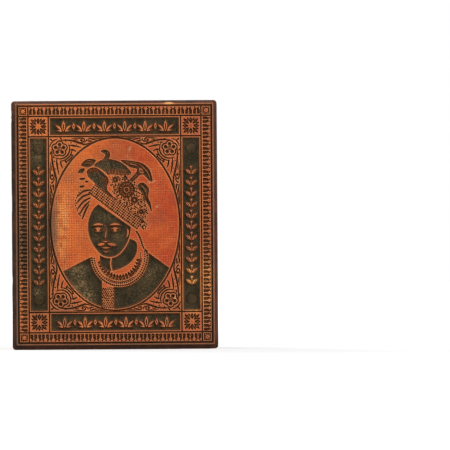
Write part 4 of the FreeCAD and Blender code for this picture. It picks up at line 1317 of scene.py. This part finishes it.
def head(grown=0):
    """The smooth egg of the head through its outline's shares, with both half sizes grown alike."""
    x, z = spot(head_place_share)
    return polygon(smooth_line([(x + u * (head_half[0] + grown), z + v * (head_half[1] + grown))
                                for u, v in egg_outline_shares], closed=True))


def draw_head():
    """The sunk face below the turban's brim, with brows, eyes, nose, moustache, mouth and ear left as
    strokes."""
    start, end = np.array(spot((-0.335, 0.27))), np.array(spot((0.27, -0.05)))
    along = (end - start) / np.hypot(*(end - start))
    brim = (face_area, lambda x, z: (z - start[1]) * along[0] - (x - start[0]) * along[1])
    etch(common(head(), brim))
    x, z = spot(head_place_share)
    strokes = list(face_stroke_shares)
    for eye in eye_place_shares:
        strokes += [((eye + u, v), *angle_and_sizes) for (u, v), *angle_and_sizes in eye_stroke_shares]
        keep(disc((x + eye * head_half[0], z), 0.085 * head_half[0]))
    for (u, v), angle, *sizes in strokes:
        foot = (x + u * head_half[0], z + v * head_half[1])
        keep(leaf(foot, angle, *[size * head_half[0] for size in sizes]))


shoulder_shares = [(-1.3, -0.75), (-0.79, -0.54), (-0.38, -0.385), (0.1, -0.36), (0.51, -0.335),
                   (0.84, -0.515), (1.3, -0.72), (1.3, -1.3), (-1.3, -1.3)]
necklace_place_share = (0.065, -0.37)
necklace_half = (3.5, 3.8)
# Each row's place as a share of the necklace's size, its beads and their radius, and where it begins and
# how far it sweeps in degrees
necklace_rows = ((0.95, 43, 0.095, 182, 189), (0.87, 39, 0.075, 183, 187), (0.72, 15, 0.065, 297, 72))
necklace_leaves = 17
pendant_width = 1.44
pendant_rows = 12
pendant_columns = 6
braid_shares = ((0.33, -0.09), (0.37, -0.14), (0.40, -0.20), (0.43, -0.27), (0.49, -0.33))
collar_outline_shares = [
    (-0.24, -0.39), (-0.225, -0.48), (-0.16, -0.527), (-0.07, -0.545), (0.04, -0.527), (0.14, -0.495),
    (0.245, -0.44), (0.31, -0.368), (0.338, -0.29), (0.31, -0.20), (0.10, -0.17), (-0.12, -0.25),
    (-0.22, -0.33)]


def on_necklace(share, turn):
    """A place on the necklace's oval, drawn in to a share of its size, at a turn in degrees."""
    return swung(spot(necklace_place_share), np.multiply(necklace_half, share), turn)


def draw_dress():
    """The sunk coat with a beaded necklace and pendant left standing in it, and the high collar with its
    opening."""
    necklace_place = spot(necklace_place_share)
    strip_x = spot((-0.12, 0))[0]
    strip = box((strip_x - pendant_width / 2, field[1], strip_x + pendant_width / 2, necklace_place[1]))
    inner_oval = oval(field_centre, oval_half[0] - oval_rim, oval_half[1] - oval_rim)
    coat = common(inner_oval, polygon(spots(shoulder_shares)))
    etch(cut(coat, oval(necklace_place, *necklace_half), strip))
    opening = stroke(spots(((-0.05, -0.36), (-0.075, -0.46), (-0.05, -0.56))), 0.2, 0.1)
    collar = polygon(smooth_line(spots(collar_outline_shares), closed=True, steps=5))
    etch(cut(collar, head(0.2), opening))
    for share, count, size, begin, sweep in necklace_rows:
        for index in range(count):
            etch(disc(on_necklace(share, begin + sweep * (index + 0.5) / count), size))
    for index in range(necklace_leaves):
        turn = 192 + 160 * (index + 0.5) / necklace_leaves
        foot = on_necklace(0.79, turn)
        if foot[1] < spot((0, -0.41))[1]:
            etch(leaf(foot, turn + 180, 0.76, 0.32))
            keep(leaf(swung(foot, -0.16, turn), turn + 180, 0.3, 0.08))
        etch(disc(on_necklace(0.77, turn + 80 / necklace_leaves), 0.055))
    etch(stroke([on_necklace(0.83, turn) for turn in np.linspace(235, 305, 6)], 0.07, 0.6))
    strip_foot = field_centre[1] - oval_half[1] + oval_rim
    pitch = (necklace_place[1] - necklace_half[1] - strip_foot) / pendant_rows
    chance = np.random.default_rng(8)
    for row in range(pendant_rows):
        for column in range(pendant_columns):
            share = (column + 0.25 + 0.5 * (row % 2)) / pendant_columns - 0.5
            place = (strip_x + pendant_width * share * 0.96, strip_foot + pitch * (row + 0.6))
            etch(disc(place + chance.uniform(-0.03, 0.03, 2), chance.uniform(0.055, 0.085)))
        for side in (-1, 1):
            edge = strip_x + side * (pendant_width / 2 + 0.02)
            etch(disc((edge, strip_foot + pitch * (row + 0.3)), 0.07))
    for index, bead in enumerate(smooth_line(spots(braid_shares), steps=5)):
        etch(disc(bead + (0.08 * (index % 2), 0.0), 0.075))


draw_frame()
draw_frieze()
draw_corner_squares()
draw_end_tablets()
draw_side_tablets()
draw_spandrels()
ring_outer = oval(field_centre, oval_half[0] + oval_ring, oval_half[1] + oval_ring)
etch(cut(ring_outer, oval(field_centre, *oval_half)))
draw_dress()
draw_head()
draw_turban()
draw_turban_cloth()

grid_x, grid_z = np.meshgrid(across, up, indexing="ij")
oval_level = np.hypot((grid_x - field_centre[0]) / oval_half[0], (grid_z - field_centre[1]) / oval_half[1])
pin_inset = 1.3                              # from the end of a side tablet to the pin's axis
pin_heights = (field[1] + panel_rule + pin_inset, field[3] - panel_rule - pin_inset)
pin_places = [(x, z) for x in panel_middles[0] for z in pin_heights]


ruled_pitch = 0.29


def engraved_lines():
    """Fine ruled lines and pricked dots of the oval's ground, deeper towards its left edge: how much is cut
    at each point, from 0 to 1, from cosine waves up and across, thinned by noise."""
    ground = ease((0.985 - oval_level) / 0.02) * ease((drawing - 0.05) / 0.1)
    left = blot(grid_x, grid_z, (-7.2, 13.8), (2.0, 6.0))
    sway = 0.05 * cloud(grid_x / 1.5, grid_z / 1.5, 61)
    level = 0.5 + 0.5 * np.cos(2 * np.pi * (grid_z + sway) / ruled_pitch)
    upright = 0.5 + 0.5 * np.cos(2 * np.pi * (grid_x + sway) / ruled_pitch)
    wear = 0.5 + 0.5 * cloud(grid_x / 0.9, grid_z / 0.7, 62)
    broken = ease(0.6 + 0.8 * cloud(grid_x / 0.5, grid_z / 0.16, 66))
    ruled = (0.2 + 0.5 * wear) * np.maximum(broken * level ** 2, 0.7 * upright ** 3)
    pricked = ease((level * upright - 0.3) / 0.35) * np.clip(0.5 * wear + 1.5 * left, 0, 1.4)
    return ground * np.clip(ruled + pricked, 0, 1.5)


engraving = engraved_lines()
engraving_depth = 0.045
seat_radius = 0.72
seat_depth = 0.08


def face_height():
    """Height in millimetres, 0 at the printing face: walls eased down over a narrow ramp, floors that lie
    deeper the wider the etched place is, a slow unevenness in both, and the pins' seats."""
    bitten = ease(0.5 - drawing / wall_width)
    deep = 0.74 + 0.26 * np.clip(-drawing / 0.3, 0, 1)
    grit = 0.012 * cloud(grid_x / 0.09, grid_z / 0.09, 63) + 0.02 * cloud(grid_x / 0.7, grid_z / 0.7, 64)
    height = -relief_depth * bitten * (deep + grit * 2) - engraving_depth * engraving
    height -= 0.006 * (1 + cloud(grid_x / 0.5, grid_z / 0.5, 65)) * (1 - bitten)
    for x, z in pin_places:
        height -= seat_depth * ease((seat_radius - np.hypot(grid_x - x, grid_z - z)) / 0.05)
    return height


# Rubbed places on the raised metal, by their middle, reaches and lean; bright ones, which are painted
# glints but for the first, a pale chip on the top edge; and pale deposits in the sunk ground, with their
# strength first
scuffs = (((4.5, 20.1), (0.5, 0.12), 12), ((5.1, 17.1), (0.16, 0.12), 0), ((1.9, 24.1), (0.3, 0.14), 70),
          ((2.1, 22.6), (0.1, 0.3), 0), ((-8.1, 29.2), (0.1, 0.1), 0), ((-6.8, 29.0), (0.12, 0.1), 0),
          ((5.6, 22.0), (0.22, 0.06), 20))
glints = (((6.6, 29.44), (0.45, 0.09)), ((8.95, 7.75), (0.25, 0.18)), ((9.75, 4.6), (0.11, 0.3)),
          ((9.5, 7.8), (0.2, 0.16)), ((9.9, 11.4), (0.12, 0.35)), ((8.3, 9.2), (0.2, 0.14)),
          ((7.2, 6.1), (0.09, 0.3)), ((9.2, 9.3), (0.22, 0.2)))
pale_patches = ((0.1, (4.2, 6.6), (3.2, 3.0)), (0.7, (-4.4, 9.4), (0.9, 0.8)), (0.7, (-4.9, 7.3), (0.7, 0.6)),
                (0.7, (-3.3, 6.4), (0.8, 1.0)), (0.7, (-5.6, 9.9), (0.7, 0.5)), (0.7, (-3.9, 8.0), (0.5, 0.5)),
                (0.7, (-9.2, 24.0), (0.5, 1.4)), (0.7, (-9.3, 6.6), (0.4, 0.7)))

# Painted highlights that model the flat sunk face, as shares of the head's half sizes: brow, nose,
# cheeks and chin
head_highlight_shares = ((0.3, (-0.1, 0.45), (0.4, 0.16)), (0.4, (midline_share - 0.03, -0.2), (0.08, 0.28)),
                     (0.3, (-0.62, -0.28), (0.16, 0.14)), (0.35, (0.42, -0.26), (0.22, 0.16)),
                     (0.3, (midline_share, chin_level_share), (0.2, 0.06)))


def pale_ground():
    """How much pale deposit lies in the sunk metal: patches, a woven gleam on the coat, painted highlights on
    the face, and the turban's folds."""
    pale = 0.06 + patches(grid_x, grid_z, pale_patches)
    weave = np.maximum(np.cos(2 * np.pi * grid_x / 0.26) * np.cos(2 * np.pi * grid_z / 0.26), 0)
    pale = pale + 1.1 * weave * blot(grid_x, grid_z, (4.2, 9.1), (1.0, 0.9))
    head_x, head_z = spot(head_place_share)
    for strength, (u, v), reach in head_highlight_shares:
        place = (head_x + u * head_half[0], head_z + v * head_half[1])
        pale = pale + strength * blot(grid_x, grid_z, place, np.multiply(reach, head_half))
    sway = 0.12 * cloud(grid_x, grid_z, 67)
    folds = 0.5 + 0.5 * np.cos(2 * np.pi * (grid_x * 0.95 + 0.35 * grid_z + sway) / 0.24)
    turban = ease((grid_z - spot((0, 0.3))[1]) / 0.3) * ease((0.97 - oval_level) / 0.02)
    return np.clip(pale + 0.4 * turban * folds ** 2, 0, 1)


def face_normals():
    """The direction of the face at each point, from the slopes of its height across and up."""
    slope_x, slope_z = np.gradient(face_height_map, across, up)
    length = np.sqrt(slope_x ** 2 + slope_z ** 2 + 1)
    return np.stack([-slope_x / length, -1 / length, -slope_z / length], axis=-1)


face_height_map = face_height()
normal_map = face_normals()
redness_map, dull_map, golden_map = copper_tones(grid_x, grid_z)
raised_map = np.maximum(ease((face_height_map + 0.24) / 0.2), 0.2 * ease((drawing + 0.16) / 0.1))
# tan along the edges of the raised metal: partly wear, partly painted highlight where edges catch the light
edge_map = raised_map * ease(1 - drawing / 0.17)
for middle, reach, lean in scuffs:
    edge_map = np.maximum(edge_map, raised_map * blot(grid_x, grid_z, middle, reach, lean))
# the painted glints, and the chip, go into the golden mark
for middle, reach in glints:
    golden_map = np.maximum(golden_map, raised_map * blot(grid_x, grid_z, middle, reach))
face_marks = {"raised": raised_map, "edge": edge_map, "redness": redness_map, "golden": golden_map,
              "dull": np.clip(dull_map + 0.6 * engraving, 0, 1), "pale": pale_ground()}
face_copper = make_copper_material("etched_copper_face", paint(40, 37, 24), paint(64, 54, 36), 0.5)


def make_panel(name, cells, hub):
    """The part of the printing face whose grid cells the mask holds, closed by walls and an underside
    fan."""
    number = np.arange(face_columns * face_rows).reshape(face_columns, face_rows)
    corners = grid_corners(number)
    padded = np.pad(cells, 1)
    edges, ways = [], []
    for (shift_i, shift_j), ends in (((0, -1), [0, 1]), ((1, 0), [1, 2]), ((0, 1), [2, 3]), ((-1, 0), [3, 0])):
        beside = padded[1 + shift_i:face_columns + shift_i, 1 + shift_j:face_rows + shift_j]
        bare = corners[cells & ~beside]
        edges.append(bare[:, ends])
        ways.append(np.tile([shift_i, shift_j], (len(bare), 1)))
    edges, ways = np.vstack(edges), np.vstack(ways)
    used, rim = np.unique(corners[cells]), np.unique(edges)
    centre = len(used) + len(rim)
    upper = np.zeros(number.size, np.int64)
    upper[used] = np.arange(len(used))
    lower = np.zeros(number.size, np.int64)
    lower[rim] = np.arange(len(used), centre)
    x, z, height = grid_x.ravel(), grid_z.ravel(), face_height_map.ravel()
    points = np.stack([in_a_row(x[used], x[rim], hub[0]),
                       in_a_row(face_y - height[used], np.full(len(rim) + 1, bed_y)),
                       in_a_row(z[used], z[rim], hub[1])], axis=1)
    start, end = edges.T
    walls = np.stack([upper[end], upper[start], lower[start], lower[end]], axis=1)
    quads = np.vstack([upper[corners[cells]], walls])
    fan = np.stack([lower[end], lower[start], np.full(len(edges), centre)], axis=1)
    push = np.zeros((number.size, 2))
    np.add.at(push, start, ways)
    np.add.at(push, end, ways)
    outward_way = push[rim] / np.maximum(np.linalg.norm(push[rim], axis=1, keepdims=True), 1e-9)
    spread = points[:, [0, 2]]
    spread[len(used):centre] += outward_way * 0.3
    below = np.zeros(len(rim) + 1)
    marks = {mark: in_a_row(values.ravel()[used], below) for mark, values in face_marks.items()}
    piece = make_piece(name, points, quads, list(fan), spread, marks, face_copper)
    piece.data.polygons.foreach_set("use_smooth", np.ones(len(piece.data.polygons), bool))
    normals = np.vstack([normal_map.reshape(-1, 3)[used], np.tile([0, 1, 0], (len(below), 1))])
    piece.data.normals_split_custom_set_from_vertices(normals.astype(np.float32))
    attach(piece, "root")
    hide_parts("face_plate")


def cut_panels():
    """Each cell goes to the panel that holds its middle: four friezes, four corner squares, four tablets,
    four spandrels, and the medallion's two halves. Their borders run in the grooves, or across the plain
    ground."""
    x, z = np.broadcast_arrays((across[:-1, None] + across[1:, None]) / 2, (up[None, :-1] + up[None, 1:]) / 2)
    first, second = inset(frieze_inner, inner_groove / 2), inset(panel_inner, inner_groove / 2)
    left, right, low, high = x < first[0], x > first[2], z < first[1], z > first[3]
    in_left, in_right, in_low, in_high = x < second[0], x > second[2], z < second[1], z > second[3]
    frieze = left | right | low | high
    frieze_x, frieze_z = band_middles(face_area, first)
    tablet_x, tablet_z = band_middles(first, second)
    middle = ((face_area[0] + face_area[2]) / 2, (face_area[1] + face_area[3]) / 2)
    make_panel("frieze_lower", low, (middle[0], frieze_z[0]))
    make_panel("frieze_upper", high, (middle[0], frieze_z[1]))
    make_panel("frieze_left", left & ~low & ~high, (frieze_x[0], middle[1]))
    make_panel("frieze_right", right & ~low & ~high, (frieze_x[1], middle[1]))
    tablets = (in_left | in_right | in_low | in_high) & ~frieze
    ends = (("lower", in_low, tablet_z[0]), ("upper", in_high, tablet_z[1]))
    for side, in_side, side_x in (("left", in_left, tablet_x[0]), ("right", in_right, tablet_x[1])):
        make_panel("tablet_" + side, tablets & in_side & ~in_low & ~in_high, (side_x, middle[1]))
        for end, in_end, end_z in ends:
            make_panel("corner_square_" + end + "_" + side, tablets & in_side & in_end, (side_x, end_z))
    for end, in_end, end_z in ends:
        make_panel("tablet_" + end, tablets & in_end & ~in_left & ~in_right, (middle[0], end_z))
    u, v = x - field_centre[0], z - field_centre[1]
    medallion = np.hypot(u / (oval_half[0] + oval_ring / 2), v / (oval_half[1] + oval_ring / 2)) < 1
    core = ~(frieze | tablets)
    halves = (("lower", v < 0, second[1] + 0.1, -1), ("upper", v >= 0, second[3] - 0.1, 1))
    for side, in_side, hub_x in (("left", u < 0, second[0] + 0.1), ("right", u >= 0, second[2] - 0.1)):
        for end, in_end, hub_z, way in halves:
            make_panel("spandrel_" + end + "_" + side, core & ~medallion & in_side & in_end, (hub_x, hub_z))
    for end, in_end, hub_z, way in halves:
        make_panel("medallion_" + end, core & medallion & in_end, (field_centre[0], field_centre[1] + way * 4))


cut_panels()

# The pins: four brass brads driven through the bare ends of the side tablets into the wood, their heads
# filed down to just above the etched floor and darkened with it.
pin_length = 11.0
pin_sides = 40
# From the head's top to the shank's end: radius, and depth below the etched floor
pin_profile = ((0.25, -0.028), (0.48, -0.02), (0.6, -0.004), (0.645, 0.02), (0.65, 0.05), (0.4, 0.35),
               (0.395, 0.6), (0.395, pin_length - 1.4), (0.2, pin_length - 0.7))


def make_pins():
    """Each pin is a profile turned round its axis: a low domed head with a filed edge, a neck, a shank, a
    point."""
    turns = np.linspace(0, 2 * math.pi, pin_sides, endpoint=False)
    radius, depth = np.array(pin_profile).T[:, :, None]
    reach = 0.3 + 0.12 * np.arange(len(radius))[:, None]
    radius = radius * (1 + 0.01 * np.sin(3 * turns))
    points, quads, caps, spread = [], [], [], []
    for index, (x, z) in enumerate(pin_places):
        loop_x, loop_z = x + radius * np.cos(turns), z + radius * np.sin(turns)
        loop_y = floor_y + depth + np.zeros_like(loop_x)
        points.append(np.stack([loop_x.ravel(), loop_y.ravel(), loop_z.ravel()], axis=1))
        loops = index * radius.size + np.arange(radius.size).reshape(radius.shape)
        quads += [band_quads(near, far)[:, ::-1] for near, far in zip(loops, loops[1:])]
        caps += [loops[0], loops[-1][::-1]]
        map_x, map_z = x / 6 + reach * np.cos(turns), z / 6 + reach * np.sin(turns)
        spread.append(np.stack([map_x.ravel(), map_z.ravel()], axis=1))
    points = np.vstack(points)
    x, z = points[:, 0], points[:, 2]
    file_marks = 0.5 + 0.5 * cloud((x + z) / 0.07, (x - z) / 0.9, 71)
    plain = np.ones(len(points))
    marks = {"raised": 0.02 + 0.05 * file_marks, "edge": 0.3 * file_marks, "redness": 0.2 * plain,
             "dull": 0.6 * plain, "golden": 0 * plain, "pale": 0.12 * file_marks}
    material = make_copper_material("filed_brass", paint(46, 42, 28), paint(70, 59, 40), 0.5)
    return make_piece("block_pins_filed", points, np.vstack(quads), caps, np.vstack(spread), marks, material)


pins = make_pins()
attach(pins, "root")
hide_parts("block_pins")

# The stage: a pale floor that keeps the block's shadow, a white surround, and three soft lamps. The long
# lens looks square at the printing face, which stands left of the middle of the frame.
frame_width = 54.0                           # what the picture takes in across, at the printing face
lens = 900.0
sensor_width = 36.0
camera_distance = frame_width * lens / sensor_width
design_turn = 0.40                           # degrees by which the block stands out of upright
design_offset = (-13.26, 0.097)              # from the picture's middle to the block's


def white_for_sight(tree):
    """1 for a camera, glossy or transmitted ray, and 0 for the light that falls on things."""
    path = node(tree, "ShaderNodeLightPath").outputs
    seen = math_of(tree, "MAXIMUM", path["Is Camera Ray"], path["Is Glossy Ray"])
    return math_of(tree, "MAXIMUM", seen, path["Is Transmission Ray"])


def make_floor():
    """A plain pale floor: a little of its white is its own light where it is looked at, so that it meets
    the white surround and still keeps a shadow."""
    bpy.ops.mesh.primitive_plane_add(size=3.0)
    floor = bpy.context.object
    floor.name = "floor"
    material, tree, shader = new_material("pale_floor")
    feed(tree, shader, {"Base Color": (0.5, 0.5, 0.5, 1), "Roughness": 0.9, "Specular IOR Level": 0.0})
    where = node(tree, "ShaderNodeTexCoord").outputs["Object"]
    reach = node(tree, "ShaderNodeVectorMath", {0: where}, operation="LENGTH").outputs["Value"]
    own_light = math_of(tree, "MULTIPLY", white_for_sight(tree), spread_of(tree, reach, 0.05, 0.9, 0.62, 0.9))
    glow = node(tree, "ShaderNodeEmission", {"Color": (1, 1, 1, 1), "Strength": own_light})
    both = node(tree, "ShaderNodeAddShader", {0: shader.outputs[0], 1: glow.outputs[0]})
    tree.links.new(both.outputs[0], tree.nodes["Material Output"].inputs["Surface"])
    floor.data.materials.append(material)


def make_surround():
    """Even grey light from all round, which is white where it is looked at."""
    world = bpy.data.worlds.new("studio")
    bpy.context.scene.world = world
    world.use_nodes = True
    tree = world.node_tree
    strength = spread_of(tree, white_for_sight(tree), 0.0, 1.0, 0.38, 1.0)
    feed(tree, tree.nodes["Background"], {"Color": (1, 1, 1, 1), "Strength": strength})


def add_lamp(name, place, size, watts):
    """A square soft lamp that faces the block."""
    lamp = bpy.data.lights.new(name, "AREA")
    lamp.shape = "SQUARE"
    lamp.size = size
    lamp.energy = watts
    holder = bpy.data.objects.new(name, lamp)
    bpy.context.scene.collection.objects.link(holder)
    target = Vector((0, 0, wood_height / 2 * mm))
    holder.location = place
    holder.rotation_euler = (target - Vector(place)).to_track_quat("-Z", "Y").to_euler()


def make_camera():
    """A long lens that looks square at the printing face, turned by the block's own small turn in the
    picture."""
    camera = bpy.data.cameras.new("camera")
    camera.lens = lens
    camera.sensor_width = sensor_width
    camera.clip_start = 0.01
    camera.clip_end = 20
    holder = bpy.data.objects.new("camera", camera)
    bpy.context.scene.collection.objects.link(holder)
    place = Vector((-design_offset[0], face_y - camera_distance, wood_height / 2 - design_offset[1])) * mm
    turn = Matrix.Rotation(math.radians(90), 4, "X") @ Matrix.Rotation(math.radians(-design_turn), 4, "Z")
    holder.matrix_world = Matrix.Translation(place) @ turn
    bpy.context.scene.camera = holder


make_floor()
make_surround()
add_lamp("key_lamp", (0.42, -0.55, 0.42), 0.28, 2.88)
add_lamp("fill_lamp", (-0.65, -0.6, 0.3), 0.6, 1.0)
add_lamp("back_lamp", (-0.34, 0.72, 0.36), 0.28, 5.3)
make_camera()
bpy.context.scene.view_settings.view_transform = "Standard"
